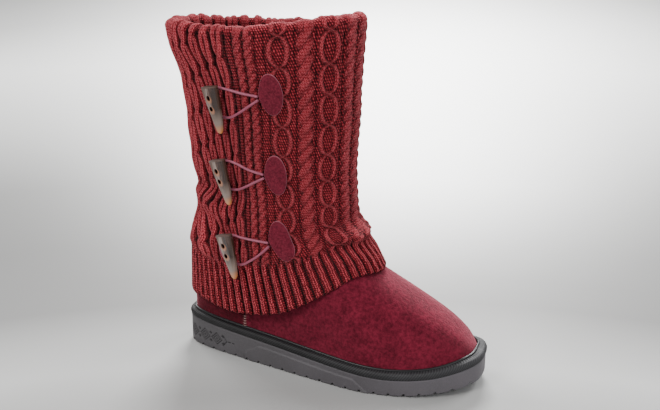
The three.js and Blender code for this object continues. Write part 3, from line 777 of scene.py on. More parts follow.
def sleeve(turn, row, grow, lift=0.0):
    """Plain outer form: an ellipse at each course, whose course climbs towards the instep and
    whose top courses follow the collar's crest. Works on whole grids."""
    at = [through(row, np.arange(len(SLEEVE)), values) for values in SLEEVE.T]
    angle = np.degrees(np.arctan2(np.sin(turn), np.cos(turn)))
    tilt = (1 + np.cos(turn)) / 2
    climb = through(np.abs(angle), HEM_RISE[:, 0], HEM_RISE[:, 1])
    up = tilt + (climb - tilt) * at[6]
    plane = SLEEVE[0, 0] + (SLEEVE[0, 1] - SLEEVE[0, 0]) * tilt
    swell = through(angle, COLLAR[:, 0], COLLAR[:, 1]) - plane - CREST_OVER
    swell = swell * np.maximum(0, 1 - row / SWELL_ROWS) ** 2
    x = (at[2] + at[3]) / 2 + ((at[3] - at[2]) / 2 + grow) * np.cos(turn)
    y = at[5] + (at[4] + grow) * np.sin(turn)
    return np.stack([x, y, at[0] + (at[1] - at[0]) * up + swell + lift], -1)


COLUMNS, COURSES, ROLL_COURSES = 840, 300, 36
STITCH, COURSE = 2.15, 2.45
# Half length and half width of the tube where its columns are spread evenly.
GIRTH_HALVES = 85, 53
fine = np.linspace(0, 2 * np.pi, 7201)
pace = np.hypot(GIRTH_HALVES[0] * np.sin(fine), GIRTH_HALVES[1] * np.cos(fine))
girth = np.concatenate([[0], np.cumsum((pace[1:] + pace[:-1]) / 2 * np.diff(fine))])
ROUND = girth[-1]
column_run = np.arange(COLUMNS) * ROUND / COLUMNS
column_turn = np.interp(column_run, girth, fine)
# Distance from the front round the shaft, below zero on the outer side.
column_side = np.where(column_run > ROUND / 2, column_run - ROUND, column_run)
# Courses are spread evenly down the outer side, where the turn from the front is -1.7.
fine_rows = np.linspace(0, HEM_ROW, 1701)
drop = sleeve(np.full(len(fine_rows), -1.7), fine_rows, 0)
fall = np.concatenate([[0], np.cumsum(np.linalg.norm(np.diff(drop, axis=0), axis=1))])
course_fall = np.linspace(0, fall[-1], COURSES)
course_row = np.interp(course_fall, fall, fine_rows)
# Rows of the sleeve's table where an eye of the cables is open widest, from the top down.
EYE_ROWS = [-0.6, 1.04, 2.6, 4.25, 6.25, 8.15, 10.0, 11.8, 13.5, 15.2]
# Columns of the pattern by distance from the front: middle, half width, kind, phase and, for
# ropes, how far down one crossing of its plies takes.
CABLES = [
    (0, 7.6, "rope", 0.0, 11.0),
    (16.2, 5.6, "rope", 0.35, 9.0),
    (35.8, 9.9, "eye", 0.0, 0),
    (55.8, 7.2, "rope", 0.6, 12.0),
    (76.8, 9.9, "eye", 0.0, 0),
    (101.0, 4.6, "rope", 0.1, 7.5),
    (110.0, 4.3, "rope", 0.6, 8.5),
    (128.4, 6.2, "strand", 0.0, 0),
    (141.0, 6.2, "strand", 0.37, 0),
    (153.6, 6.2, "strand", 0.8, 0),
    (166.2, 6.2, "strand", 0.15, 0),
    (178.8, 6.2, "strand", 0.55, 0),
    (191.4, 6.2, "strand", 0.9, 0),
    (204.0, 6.2, "strand", 0.3, 0),
    (215.6, 5.0, "rope", 0.5, 9.0),
]
# Distances from the front where a deep gutter runs between two columns.
GUTTERS = [
    8.7, 23.4, 46.8, 64.0, 88.0, 95.4, 105.4, 115.0, 121.8, 134.7, 147.3, 159.9, 172.5, 185.1, 197.7, 210.2
]
# How far the strands at the heel drift towards the toe, by height on the outer side.
DRIFT = np.array([[50, 30], [98, 30], [118, 25], [150, 9], [172, 21], [232, 13], [300, 1], [320, 0]])
RIB_COUNT = 58
# How far the two cords of an eye part and how thick they lie, then the same for strands and for the
# plies of a rope, as shares of its half width, then the gutters, the ribs and the sunken heel ground.
OPEN_EYE = {"least": 2.6, "more": 4.6, "half": 1.95, "high": 2.2}
STRAND = {"swing": 2.7, "half": 2.5, "high": 3.0, "turns": 0.44}
ROPE = {"swing": 0.34, "half": 0.62, "high": 1.7}
GUTTER = {"half": 0.85, "deep": 1.3, "deeper": 0.6}
RIB = {"low": -2.5, "high": 3.9}
HEEL = {"from": 112, "over": 22, "sunk": 1.2}


def cord(offset, half):
    """Round top of a cord seen across: an arc that is 1 at its middle and 0 at its edges."""
    return np.sqrt(np.clip(1 - (offset / half) ** 2, 0, 1))


def lay(under, lean, half, high, lift):
    """Lays a cord over the knit so far: where it stands higher, it gives the height, the column of
    stitches and a stocking stitch in place of moss. lean is the distance from the cord's middle."""
    height, wale, purl = under
    body = cord(lean, half)
    over = high * body + lift * body**0.5
    taken = (body > 0.02) & (over > height)
    return np.where(taken, over, height), np.where(taken, lean / STITCH, wale), np.where(taken, 0, purl)


def knit_relief(side, row, fall_mm, height):
    """Height of the knit over its plain form, column of stitches and share of moss stitch, for a
    whole grid. The cables are laid on a ground of moss stitch one after another."""
    away = np.abs(side)
    at_heel = np.clip((away - HEEL["from"]) / HEEL["over"], 0, 1)
    drift = through(height, DRIFT[:, 0], DRIFT[:, 1])
    place = away + drift * at_heel * (0.8 + 0.2 * np.sin(side * 0.11))
    place = np.where(place > ROUND / 2, ROUND - place, place)
    eye = np.interp(row, EYE_ROWS, np.arange(len(EYE_ROWS)))
    knit = (0.55 - HEEL["sunk"] * at_heel + 0 * place, place / STITCH, 1 + 0 * place)
    for middle, half, kind, phase, crossing in CABLES:
        offset = place - middle
        near = np.abs(offset) < half + 0.6
        below = knit
        if kind == "eye":
            beat = np.cos(np.pi * eye)
            reach = np.tanh(beat / 0.2) * (OPEN_EYE["least"] + OPEN_EYE["more"] * np.abs(beat) ** 0.7)
            front = 0.5 * np.exp(-((beat / 0.35) ** 2)) * np.sign(np.sin(np.pi * eye))
            for hand in (-1, 1):
                knit = lay(knit, offset - hand * reach, OPEN_EYE["half"], OPEN_EYE["high"], hand * front)
        elif kind == "strand":
            angle = 2 * np.pi * (eye * STRAND["turns"] + phase)
            swing = STRAND["swing"] * np.tanh(np.sin(angle) / 0.5)
            for hand in (-1, 1):
                lean, lift = offset - hand * swing, hand * 0.7 * np.cos(angle)
                knit = lay(knit, lean, STRAND["half"], STRAND["high"], lift)
        else:
            angle = np.pi * (fall_mm / crossing + phase)
            for hand in (0, np.pi):
                lean = offset - ROPE["swing"] * half * np.sin(angle + hand)
                knit = lay(knit, lean, ROPE["half"] * half, ROPE["high"], 0.75 * np.cos(angle + hand))
        knit = tuple(np.where(near, new, old) for new, old in zip(knit, below))
    relief, wale, purl = knit
    gutter = sum(np.exp(-(((place - middle) / GUTTER["half"]) ** 2)) for middle in GUTTERS)
    holes = 0.6 + 0.4 * np.sin(fall_mm * 0.75 + place) * np.sin(fall_mm * 0.31 + 2 * place)
    relief = relief - (GUTTER["deep"] * holes + GUTTER["deeper"] * at_heel) * gutter
    pitch = ROUND / RIB_COUNT
    across = (side / pitch) % 1.0 - 0.5
    rib = RIB["low"] + RIB["high"] * np.clip(1 - (np.abs(across) / 0.5) ** 2.4, 0, 1) ** 0.9
    into = np.clip((row - BAND_ROW + 0.45 + 0.12 * np.sin(side * 0.8)) / 0.5, 0, 1)
    wale = np.where(into > 0.5, across * 2, wale)
    return relief * (1 - into) + rib * into, wale, purl * (into < 0.5)


# Folds where the tube is bunched over the ankle and rucked at the heel: distance from the front,
# height, half length round, half height, slope and depth in mm.
FOLDS = [
    (-170, 166, 34, 7, 0.1, -3.4),
    (-172, 150, 36, 8, -0.15, 2.6),
    (-158, 134, 30, 7, -0.35, -2.8),
    (-178, 118, 40, 9, -0.2, 2.2),
    (-128, 162, 16, 6, 0.25, -1.8),
    (-60, 112, 44, 6, -0.12, 2.3),
    (-52, 126, 40, 5, -0.1, -2.2),
    (-14, 128, 26, 6, 0.0, 2.6),
    (-12, 141, 26, 7, 0.0, -2.4),
    (60, 118, 44, 6, 0.12, 1.4),
    (52, 131, 40, 6, 0.1, -1.4),
    (165, 150, 36, 8, 0.2, -2.6),
    (170, 132, 36, 8, 0.1, 2.2),
    (-150, 262, 26, 22, 0.3, -1.2),
    (-196, 225, 20, 40, 0.1, -1.2),
    (140, 240, 24, 34, -0.2, -1.2),
    (-92, 224, 12, 34, 0.15, -0.9),
]


def folds(side, height):
    """Sum of soft troughs and ridges, each a stretched and slanted bell."""
    total = 0 * height
    for at, up, long, tall, slope, deep in FOLDS:
        forward = (side - at + ROUND / 2) % ROUND - ROUND / 2
        above = height - up - slope * forward
        total = total + deep * np.exp(-((forward / long) ** 2) - (above / tall) ** 2)
    return total


side_grid, row_grid = np.meshgrid(column_side, course_row)
turn_grid = np.broadcast_to(column_turn, row_grid.shape)
fall_grid = np.broadcast_to(course_fall[:, None], row_grid.shape)
plain = sleeve(turn_grid, row_grid, 0)
relief, wale_grid, purl_grid = knit_relief(side_grid, row_grid, fall_grid, plain[..., 2])
# The last quarter of a row is the cast-off edge, which is flatter and waves with the ribs.
HEM_EDGE = {"rows": 0.25, "flatter": 0.55, "wave": 1.1}
hem_edge = np.clip((row_grid - HEM_ROW + HEM_EDGE["rows"]) / HEM_EDGE["rows"], 0, 1)
stands = relief * (1 - HEM_EDGE["flatter"] * hem_edge**2)
body = sleeve(turn_grid, row_grid, stands + folds(side_grid, plain[..., 2]))
body[..., 2] -= HEM_EDGE["wave"] * hem_edge * np.cos(2 * np.pi * side_grid / (ROUND / RIB_COUNT))


def rolled_top():
    """The top of the tube: half an ellipse over the rim, then down inside, with the cables fading.
    Gives its points, the height of its cables and how near the top of the bend each place is."""
    part = np.linspace(0, 1, ROLL_COURSES)[::-1][:, None]
    bend = np.clip(part / ROLL["over"], 0, 1) * np.pi
    down = np.clip((part - ROLL["over"]) / (1 - ROLL["over"]), 0, 1) * ROLL["down"]
    away = relief[:1] * (1 - 0.8 * np.clip(part / 0.5, 0, 1))
    grow = -ROLL["out"] * (1 - np.cos(bend)) + away * np.cos(bend)
    lift = ROLL["up"] * np.sin(bend) - down + np.maximum(away, -0.4) * np.sin(bend) * 0.9
    turn = np.broadcast_to(column_turn, grow.shape)
    uneven = 0.8 * np.sin(side_grid[:1] / 7.3) + 0.6 * np.sin(side_grid[:1] / 3.1 + 1)
    return sleeve(turn, 0 * grow, grow, lift + uneven * np.sin(bend) * 0.8), away, np.sin(bend)


rolled, rolled_relief, rolled_shine = rolled_top()


def standing(field, reach):
    """How far each place stands over the mean of its surroundings, reach grid steps away."""
    near = [np.roll(field, step, 1) for step in (-reach, -reach // 2, reach // 2, reach)]
    padded = np.pad(field, ((reach, reach), (0, 0)), mode="edge")
    near += [padded[: -2 * reach], padded[2 * reach :]]
    return field - sum(near) / len(near)


# Painted cavity shade: places that stand over their surroundings are painted lighter, and sunk places
# darker.
proud = 0.9 * standing(relief, 5)
# Under the hem the tube turns in by 6 mm.
tuck_in = sleeve(turn_grid[-1:], row_grid[-1:], -6.0, 1.6)
whole = np.concatenate([rolled[:-1], body, tuck_in], 0)
down_way = np.gradient(whole, axis=0)
round_way = np.roll(whole, -1, 1) - np.roll(whole, 1, 1)
facing = np.cross(round_way, -down_way)
facing /= np.linalg.norm(facing, axis=-1, keepdims=True) + 1e-9


def over_all(top, middle, bottom):
    """A value for every point of the tube from those of its rolled top, its body and its tuck."""
    top = np.broadcast_to(top, rolled_relief.shape)
    return np.concatenate([top[:-1], middle, np.broadcast_to(bottom, relief[-1:].shape)], 0)


# The finish paints shade and light from the height of each place: raised where it stands over its
# surroundings, as painted cavity shade, along the rim, as a painted highlight, and lowered under the hem, as
# painted shade.
RIM_PAINTED_HIGHLIGHT = 3.6
roll_fall = -np.linspace(ROLL["long"], 0, ROLL_COURSES)[:, None]
yarn_and_painted_shade_mark = np.stack(
    [
        over_all(roll_fall, fall_grid, fall_grid[-1:]) / COURSE,
        over_all(wale_grid[:1], wale_grid, wale_grid[-1:]),
        over_all(rolled_relief + proud[:1] + RIM_PAINTED_HIGHLIGHT * rolled_shine, relief + proud, relief[-1:] - 1),
    ],
    -1,
)
purl_mark = over_all(purl_grid[:1], purl_grid, purl_grid[-1:])

wool, wool_tree, wool_shader = material(
    "marled_wool",
    0.9,
    Sheen_Weight=0.16,
    Sheen_Roughness=0.35,
    Sheen_Tint=(1.0, 0.35, 0.38, 1),
    Specular_IOR_Level=0.15,
)


def wave(tree, value):
    """A cosine that runs from 0 to 1 and back as the value grows by 1."""
    angle = sums(tree, "MULTIPLY", value, 2 * np.pi)
    return sums(tree, "MULTIPLY_ADD", sums(tree, "COSINE", angle), 0.5, 0.5)


def stitches(tree, yarn, purl):
    """Height of the stitches from 0 to 1: two leaning legs that meet in a V in stocking stitch,
    and a chequer of bumps in moss stitch."""
    course, wale = put(tree, "SeparateXYZ", {0: yarn}).outputs[:2]
    beside = sums(tree, "ABSOLUTE", sums(tree, "SUBTRACT", sums(tree, "FRACT", wale), 0.5))
    beat = wave(tree, sums(tree, "SUBTRACT", course, sums(tree, "MULTIPLY", beside, 1.9)))
    leg = sums(tree, "ABSOLUTE", sums(tree, "SUBTRACT", beside, 0.25))
    leg = sums(tree, "SUBTRACT", 1.0, sums(tree, "POWER", sums(tree, "MULTIPLY", leg, 4.0), 2.0))
    plain_height = sums(tree, "MULTIPLY", leg, sums(tree, "MULTIPLY_ADD", beat, 0.7, 0.42))
    bump = wave(tree, sums(tree, "MULTIPLY_ADD", course, 0.5, wale))
    line = wave(tree, course)
    moss = sums(tree, "MULTIPLY", bump, sums(tree, "MULTIPLY_ADD", line, 0.8, 0.2))
    moss = sums(tree, "POWER", moss, 0.62)
    return put(tree, "Mix", {"Factor": purl, 2: plain_height, 3: moss}, data_type="FLOAT").outputs[0]


def vectors(tree, operation, first, second):
    """Result of one Vector Math node: a number for a distance or a product, else a vector."""
    made = put(tree, "VectorMath", {0: first, 1: second}, operation=operation).outputs
    return made["Value" if operation in ("DISTANCE", "DOT_PRODUCT") else "Vector"]


def ramp(tree, factor, *stops):
    """Colours by a factor, from (place, colour) stops."""
    made = put(tree, "ValToRGB", {0: factor})
    band = made.color_ramp
    while len(band.elements) < len(stops):
        band.elements.new(0.5)
    for element, (place, colour) in zip(band.elements, stops):
        element.position = place
        element.color = (*colour, 1)
    return made.outputs[0]


# The yarn mark holds the course, the wale and the height over the plain form. The first two wander a little,
# so that the stitches are uneven; the colour grows lighter with the height, the stitch and the marl, so that
# shade is painted into the gutters and between stitches and highlights onto the cables and stitch tops.
yarn = mark_of(wool_tree, "yarn", "Vector")
where = own_place(wool_tree)
astray = put(wool_tree, "TexNoise", {"Vector": where, "Scale": 200, "Detail": 2}).outputs["Color"]
astray = vectors(wool_tree, "SUBTRACT", astray, (0.5, 0.5, 0.5))
wander = vectors(wool_tree, "MULTIPLY", astray, (1.1, 0.7, 0))
stitch = stitches(wool_tree, vectors(wool_tree, "ADD", yarn, wander), mark_of(wool_tree, "purl"))
painted_shade_height = put(wool_tree, "SeparateXYZ", {0: yarn}).outputs[2]
marl = noise(wool_tree, where, 420, 3, Roughness=0.7)
tint = noise(wool_tree, where, 45, 2)
# Painted shade in the gutters and a painted highlight on the cables.
gutter_painted_shade = carry(wool_tree, painted_shade_height, -2.0, 0.5, 0.0, 0.42)
cable_painted_highlight = carry(wool_tree, painted_shade_height, 0.5, 3.4, 0.0, 0.2)
shade = sums(wool_tree, "ADD", gutter_painted_shade, cable_painted_highlight)
shade = sums(wool_tree, "MULTIPLY_ADD", sums(wool_tree, "SUBTRACT", stitch, 0.42), 0.62, shade)
shade = sums(wool_tree, "MULTIPLY_ADD", sums(wool_tree, "SUBTRACT", marl, 0.5), 0.7, shade)
shade = sums(wool_tree, "MULTIPLY_ADD", sums(wool_tree, "SUBTRACT", tint, 0.5), 0.15, shade)
colour = ramp(
    wool_tree,
    shade,
    (0.0, (0.008, 0.0006, 0.001)),
    (0.24, (0.03, 0.0017, 0.0032)),
    (0.47, (0.135, 0.0075, 0.0125)),
    (0.66, (0.3, 0.023, 0.032)),
    (0.9, (0.62, 0.1, 0.12)),
)
wool_tree.links.new(colour, wool_shader.inputs["Base Color"])
raised = sums(wool_tree, "MULTIPLY_ADD", noise(wool_tree, where, 1400, 3), 0.25, stitch)
lifted = put(wool_tree, "Bump", {"Strength": 0.9, "Distance": 0.0009, "Height": raised}).outputs[0]
wool_tree.links.new(lifted, wool_shader.inputs["Normal"])

# The tube is cut into a top, a hem and three panels between them that share their edges. The front
# panel starts 120 columns from the front, on the outer side.
PANEL_START = -120
TOP_COURSES = 6
top_rows = ROLL_COURSES + TOP_COURSES
band_rows = ROLL_COURSES - 1 + int(np.searchsorted(course_row, BAND_ROW - 0.5))
third = COLUMNS // 3
pieces = {
    "knit_rolled_top": (slice(0, top_rows), None),
    "knit_ribbed_hem": (slice(band_rows - 1, None), None),
}
for step, name in enumerate(("knit_front_panel", "knit_inner_panel", "knit_outer_panel")):
    first = PANEL_START + step * third
    pieces[name] = (slice(top_rows - 1, band_rows), np.arange(first, first + third + 1) % COLUMNS)
for name, (rows, columns) in pieces.items():
    pick = (lambda a: a[rows]) if columns is None else (lambda a: a[rows][:, columns])
    piece = skin(
        name,
        pick(whole),
        "knit",
        around=columns is None,
        flip=True,
        marks={"yarn": pick(yarn_and_painted_shade_mark), "purl": pick(purl_mark)},
        normals=pick(facing),
    )
    piece.data.materials.append(wool)
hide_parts("knit_sleeve")

# Patches
# Ovals of the same suede sewn to the sleeve, each with a pale cut edge and a small nose where the
# cord comes out.

# For each fastening from the top down: the toggle's turn from the front in degrees, height and lean,
# how far it stands off, and its patch's nose (turn and height), height and tilt.
FASTENINGS = [
    {"turn": -107, "z": 242, "lean": 9, "off": 1.5, "nose": (-79.9, 254), "patch_z": 257.5, "tilt": 5},
    {"turn": -106.5, "z": 178, "lean": 9, "off": 1.5, "nose": (-79, 186), "patch_z": 187.5, "tilt": 4},
    {"turn": -104.5, "z": 111, "lean": 20, "off": 0.7, "nose": (-79, 125.5), "patch_z": 129.5, "tilt": 9},
]
PATCH = {"half_wide": 9.1, "half_high": 17.4, "thick": 1.7, "nose": 0.9}
GAP = 0.3
# Length round the sleeve's outer side for one degree.
PER_DEGREE = 1.32


def seat(turn_degrees, z):
    """Places on the sleeve's plain form at turns and heights, with the ways out and up. The row of
    each is found by halving."""
    turn, z = np.broadcast_arrays(np.radians(turn_degrees), np.asarray(z, float))
    low, high = np.zeros(turn.shape), np.full(turn.shape, HEM_ROW)
    for _ in range(26):
        middle = (low + high) / 2
        above = sleeve(turn, middle, 0)[..., 2] > z
        low, high = np.where(above, middle, low), np.where(above, high, middle)
    point = sleeve(turn, low, 0)
    around = sleeve(turn + 0.02, low, 0) - sleeve(turn - 0.02, low, 0)
    down = sleeve(turn, low + 0.05, 0) - sleeve(turn, low - 0.05, 0)
    out = np.cross(down, around)
    out /= np.linalg.norm(out, axis=-1, keepdims=True)
    down /= np.linalg.norm(down, axis=-1, keepdims=True)
    return point, out, -down


def over_sleeve(fastening, across, up, height):
    """A place that lies across mm towards the patch and up mm from the toggle, height mm out."""
    turn = fastening["turn"] + np.asarray(across) / PER_DEGREE
    point, out, _ = seat(turn, fastening["z"] + np.asarray(up))
    return point + out * np.asarray(height)[..., None]


def oval(fastening, rings, sides):
    """Domed oval with a rounded cut edge, laid on the sleeve: rings run from the middle of the
    back round the edge to the middle of the face, each at its own height over the sleeve."""
    share = [np.linspace(0.5, 0.985, 5), [1.0, 1.008, 1.0, 0.985], np.linspace(0.95, 0.02, rings)]
    height = [np.full(5, 2.0), [2.1, 2.8, 3.55, 3.85], np.linspace(3.95, 4.1, rings)]
    share, height = np.concatenate(share)[:, None], np.concatenate(height)[:, None]
    angle = np.linspace(0, 2 * np.pi, sides, endpoint=False)[None, :]
    nose = PATCH["nose"] * np.maximum(0, np.cos(angle - np.pi)) ** 14
    tilt = np.radians(fastening["tilt"])
    u = np.cos(angle) * (PATCH["half_wide"] + nose) * share
    v = np.sin(angle) * PATCH["half_high"] * share
    reach = (fastening["nose"][0] - fastening["turn"]) * PER_DEGREE + PATCH["half_wide"] + 0.1
    middle = fastening["patch_z"] - fastening["z"]
    puff = 0.15 * np.sin(u * 0.5 + v * 0.2) * np.cos(v * 0.3) * (share < 0.9) * (height > 3.9)
    grid = over_sleeve(
        fastening,
        reach + u * np.cos(tilt) - v * np.sin(tilt),
        middle + u * np.sin(tilt) + v * np.cos(tilt),
        height + puff + 0 * u,
    )
    edge = np.exp(-(((height - 2.95) / 0.75) ** 2)) * (share > 0.96) + 0 * u
    return grid, edge


patch_suede, patch_tree, patch_shader = material(
    "patch_suede",
    0.92,
    Sheen_Weight=0.4,
    Sheen_Roughness=0.45,
    Sheen_Tint=(1.0, 0.5, 0.6, 1),
    Specular_IOR_Level=0.15,
)
patch_nap = clouded_finish(
    patch_tree,
    patch_shader,
    deep=(0.05, 0.002, 0.0075),
    light=(0.16, 0.0135, 0.029),
    cloud=150,
    fine=560,
    share=0.8,
    bump=0.6,
    high=0.0008,
)
edged = mix(patch_tree, mark_of(patch_tree, "edge"), patch_nap, (0.4, 0.12, 0.155))
patch_tree.links.new(edged, patch_shader.inputs["Base Color"])
for number, fastening in enumerate(FASTENINGS, 1):
    grid, edge = oval(fastening, 12, 96)
    piece = skin(
        f"oval_patch_{number}", grid, "suede", around=True, caps=True, flip=True, marks={"edge": edge}
    )
    piece.data.materials.append(patch_suede)
    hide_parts(f"patch_{number}")

# Cord loops
# A round rose-coloured waxed cord, doubled: it leaves the patch's nose, goes round behind the
# toggle and comes back to the nose.
CORD_RADIUS = 1.1
END_SHORT = 1.6
# Guide points: share of the span to the nose and mm across, share of the nose's height and mm up.
LOOP = np.array(
    [
        [1, 0, 1, 1.5],
        [0.62, 0, 0.62, 7.8],
        [0, 9, 0, 17.4],
        [0, 0, 0, 18],
        [0, -8.6, 0, 15.4],
        [0, -13, 0, 8.6],
        [0, -12.4, 0, 1],
        [0, -7.4, 0, -4.6],
        [0, 1, 0, -7],
        [0, 9, 0, -6.6],
        [0.48, 0, 0.2, -4.9],
        [0.76, 0, 0.6, -2.8],
        [1, 0, 1, -1.5],
    ]
)
cord_wax, cord_tree, cord_shader = material(
    "waxed_cord", 0.42, Sheen_Weight=0.25, Sheen_Tint=(1, 0.7, 0.8, 1), Specular_IOR_Level=0.45
)
clouded_finish(
    cord_tree,
    cord_shader,
    deep=(0.19, 0.03, 0.06),
    light=(0.34, 0.08, 0.13),
    cloud=300,
    fine=2500,
    share=0.5,
    bump=0.3,
    high=0.0003,
)


def loop_path(fastening, count):
    """Centre line of the loop over the sleeve, smoothed between its guide points."""
    span = (fastening["nose"][0] - fastening["turn"]) * PER_DEGREE - END_SHORT
    nose = fastening["nose"][1] - fastening["z"]
    across = LOOP[:, 1] + LOOP[:, 0] * span
    up = LOOP[:, 3] + LOOP[:, 2] * nose
    steps = np.concatenate([[0], np.cumsum(np.hypot(np.diff(across), np.diff(up)))])
    at = np.linspace(0, steps[-1], count)
    off = np.full(count, PATCH["thick"] + GAP + CORD_RADIUS + 0.2)
    return over_sleeve(fastening, through(at, steps, across), through(at, steps, up), off)


def tube(path, radius, sides):
    """Round tube carried along a path, with its rings square to it: each ring starts on the side
    that faces the toggles' side of the boot."""
    way = np.gradient(path, axis=0)
    way /= np.linalg.norm(way, axis=1, keepdims=True)
    out = np.array([0, -1.0, 0]) + way * way[:, 1:2]
    out /= np.linalg.norm(out, axis=1, keepdims=True)
    beside = np.cross(way, out)
    turn = np.linspace(0, 2 * np.pi, sides, endpoint=False)[None, :, None]
    return path[:, None] + radius * (np.cos(turn) * out[:, None] + np.sin(turn) * beside[:, None])


for number, fastening in enumerate(FASTENINGS, 1):
    path = loop_path(fastening, 160)
    piece = skin(f"round_cord_{number}", tube(path, CORD_RADIUS, 14), "cord", around=True, caps=True)
    piece.data.materials.append(cord_wax)
    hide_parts(f"cord_loop_{number}")

# Toggles
# Tapered imitation horn, cut square at the top and rounded at the tip, with a bevelled face and two
# drilled holes: smoky grey on the left, a dark brown band on the right and a honey-coloured tip.
HORN = {"long": 41.0, "wide": 18.6, "thick": 7.4, "hole": 2.05, "turned": 12.0}
# Heights of the two holes over the toggle's middle. They lie a little left of it and are oval.
HOLES = [HORN["long"] / 2 - from_top for from_top in (9.3, 18.6)]
HOLE_LEFT, HOLE_SQUASH = 0.4, 0.95
# Share of the way to the tip, shares of the full width and thickness, and mm that it bends aside.
HORN_CUTS = np.array(
    [
        [0, 1, 1, 0],
        [0.25, 0.86, 0.95, 0.3],
        [0.5, 0.68, 0.84, 0.5],
        [0.75, 0.47, 0.68, 0.3],
        [0.93, 0.29, 0.5, -0.3],
        [1, 0.16, 0.3, -0.6],
    ]
)
# Corners of a section: shares of the half width and of the thickness.
HORN_SECTION = np.array(
    [
        [-0.8, 0],
        [-0.97, 0.2],
        [-1, 0.5],
        [-0.97, 0.74],
        [-0.66, 1],
        [0, 1.02],
        [0.66, 1],
        [0.97, 0.74],
        [1, 0.5],
        [0.97, 0.2],
        [0.8, 0],
        [0, -0.02],
        [-0.8, 0],
    ]
)


def horn_body(rows, sides):
    """Sections from the cut end to the tip, each a flat-backed rounded bar, shrunk to a round
    nose at the tip and a soft edge at the cut end. In mm, from the middle of the toggle's back."""
    ends = np.array([0.0, 0.0, 0.004, 0.012])
    first, count = 0.12 * np.pi / 2, 12
    nose = 0.93 + 0.07 * np.sin(np.linspace(first, np.pi / 2, count))
    at = np.concatenate([ends, np.linspace(0.02, 0.93, rows), nose])
    width, deep, bend = (through(at, HORN_CUTS[:, 0], values) for values in HORN_CUTS[:, 1:].T)
    shrink = np.ones_like(at)
    shrink[:3] = (0.05, 0.9, 0.97)
    shrink[-count:] = np.sqrt(np.cos(np.linspace(first, 0.985 * np.pi / 2, count)) / np.cos(first))
    corners = np.arange(len(HORN_SECTION))
    at_corner = np.linspace(0, corners[-1], sides, endpoint=False)
    across, depth = (np.interp(at_corner, corners, values)[None, :] for values in HORN_SECTION.T)
    x = bend[:, None] + across * HORN["wide"] / 2 * (width * shrink)[:, None]
    z_mid = 0.5 * deep[:, None]
    z = (z_mid + (depth * deep[:, None] - z_mid) * shrink[:, None]) * HORN["thick"]
    z = z + (1 - deep[:, None]) * HORN["thick"] * 0.3
    y = HORN["long"] / 2 - at[:, None] * HORN["long"]
    return np.stack([x, y + 0 * x, z], -1)


def drill(piece, holes):
    """Cuts the holes' cylinders out of a toggle's mesh and takes them away."""
    for cutter in holes:
        cut_by = piece.modifiers.new("hole", "BOOLEAN")
        cut_by.object, cut_by.operation, cut_by.solver = cutter, "DIFFERENCE", "EXACT"
    seen = piece.evaluated_get(bpy.context.evaluated_depsgraph_get())
    mesh = bpy.data.meshes.new_from_object(seen)
    piece.modifiers.clear()
    piece.data = mesh
    for cutter in holes:
        bpy.data.objects.remove(cutter)


def hole_cutter(height, axes_way, point):
    """Cylinder on a toggle's own axes that flares where it leaves the face."""
    turn = np.linspace(0, 2 * np.pi, 40, endpoint=False)
    radius = HORN["hole"] + np.array([0, 0, 0.9])[:, None]
    deep = np.array([-4, HORN["thick"] - 1.2, HORN["thick"] + 1.0])[:, None]
    up = height + HOLE_SQUASH * radius * np.sin(turn)
    rings = np.stack([radius * np.cos(turn) - HOLE_LEFT, up, deep + 0 * up], -1)
    return surface("drill", rings @ axes_way + point, around=True, caps=True)


horn, horn_tree, horn_shader = material(
    "polished_horn", 0.2, Coat_Roughness=0.08, Specular_IOR_Level=0.5
)
# The horn mark is the place in the toggle's own axes in mm, and the streaks of each toggle differ.
local = mark_of(horn_tree, "horn", "Vector")
axes = put(horn_tree, "SeparateXYZ", {0: local}).outputs
stretched = put(horn_tree, "Mapping", {"Vector": local, "Scale": (0.26, 0.045, 0.12)}).outputs[0]
shift = sums(horn_tree, "MULTIPLY", mark_of(horn_tree, "which"), 3.7)
streak_feeds = {"Vector": stretched, "W": shift, "Scale": 1.3, "Detail": 4}
streak = put(horn_tree, "TexNoise", streak_feeds, noise_dimensions="4D").outputs[0]
slant = sums(horn_tree, "MULTIPLY_ADD", axes[1], -0.16, axes[0])
banded = carry(horn_tree, slant, -8.0, 8.0)
banded = sums(horn_tree, "MULTIPLY_ADD", sums(horn_tree, "SUBTRACT", streak, 0.5), 1.3, banded)
face = ramp(
    horn_tree,
    banded,
    (0.1, (0.12, 0.075, 0.06)),
    (0.3, (0.27, 0.205, 0.18)),
    (0.44, (0.16, 0.105, 0.088)),
    (0.58, (0.06, 0.033, 0.026)),
    (0.8, (0.022, 0.009, 0.006)),
)
flank = mix(horn_tree, carry(horn_tree, axes[2], 4.4, 6.2), (0.045, 0.021, 0.013), face)
smoky = mix(horn_tree, carry(horn_tree, axes[1], 1.0, -10.0, 0.0, 0.6), flank, (0.3, 0.225, 0.185))
honey = mix(horn_tree, carry(horn_tree, axes[1], -12.0, -19.5), smoky, (0.55, 0.2, 0.055))
at_cut = carry(horn_tree, axes[1], 19.2, 20.2)
glowing = mix(horn_tree, at_cut, honey, (0.06, 0.026, 0.016))
dull = sums(horn_tree, "MULTIPLY_ADD", at_cut, 0.45, 0.2)
horn_tree.links.new(dull, horn_shader.inputs["Roughness"])
varnish = sums(horn_tree, "MULTIPLY_ADD", at_cut, -0.45, 0.45)
horn_tree.links.new(varnish, horn_shader.inputs["Coat Weight"])
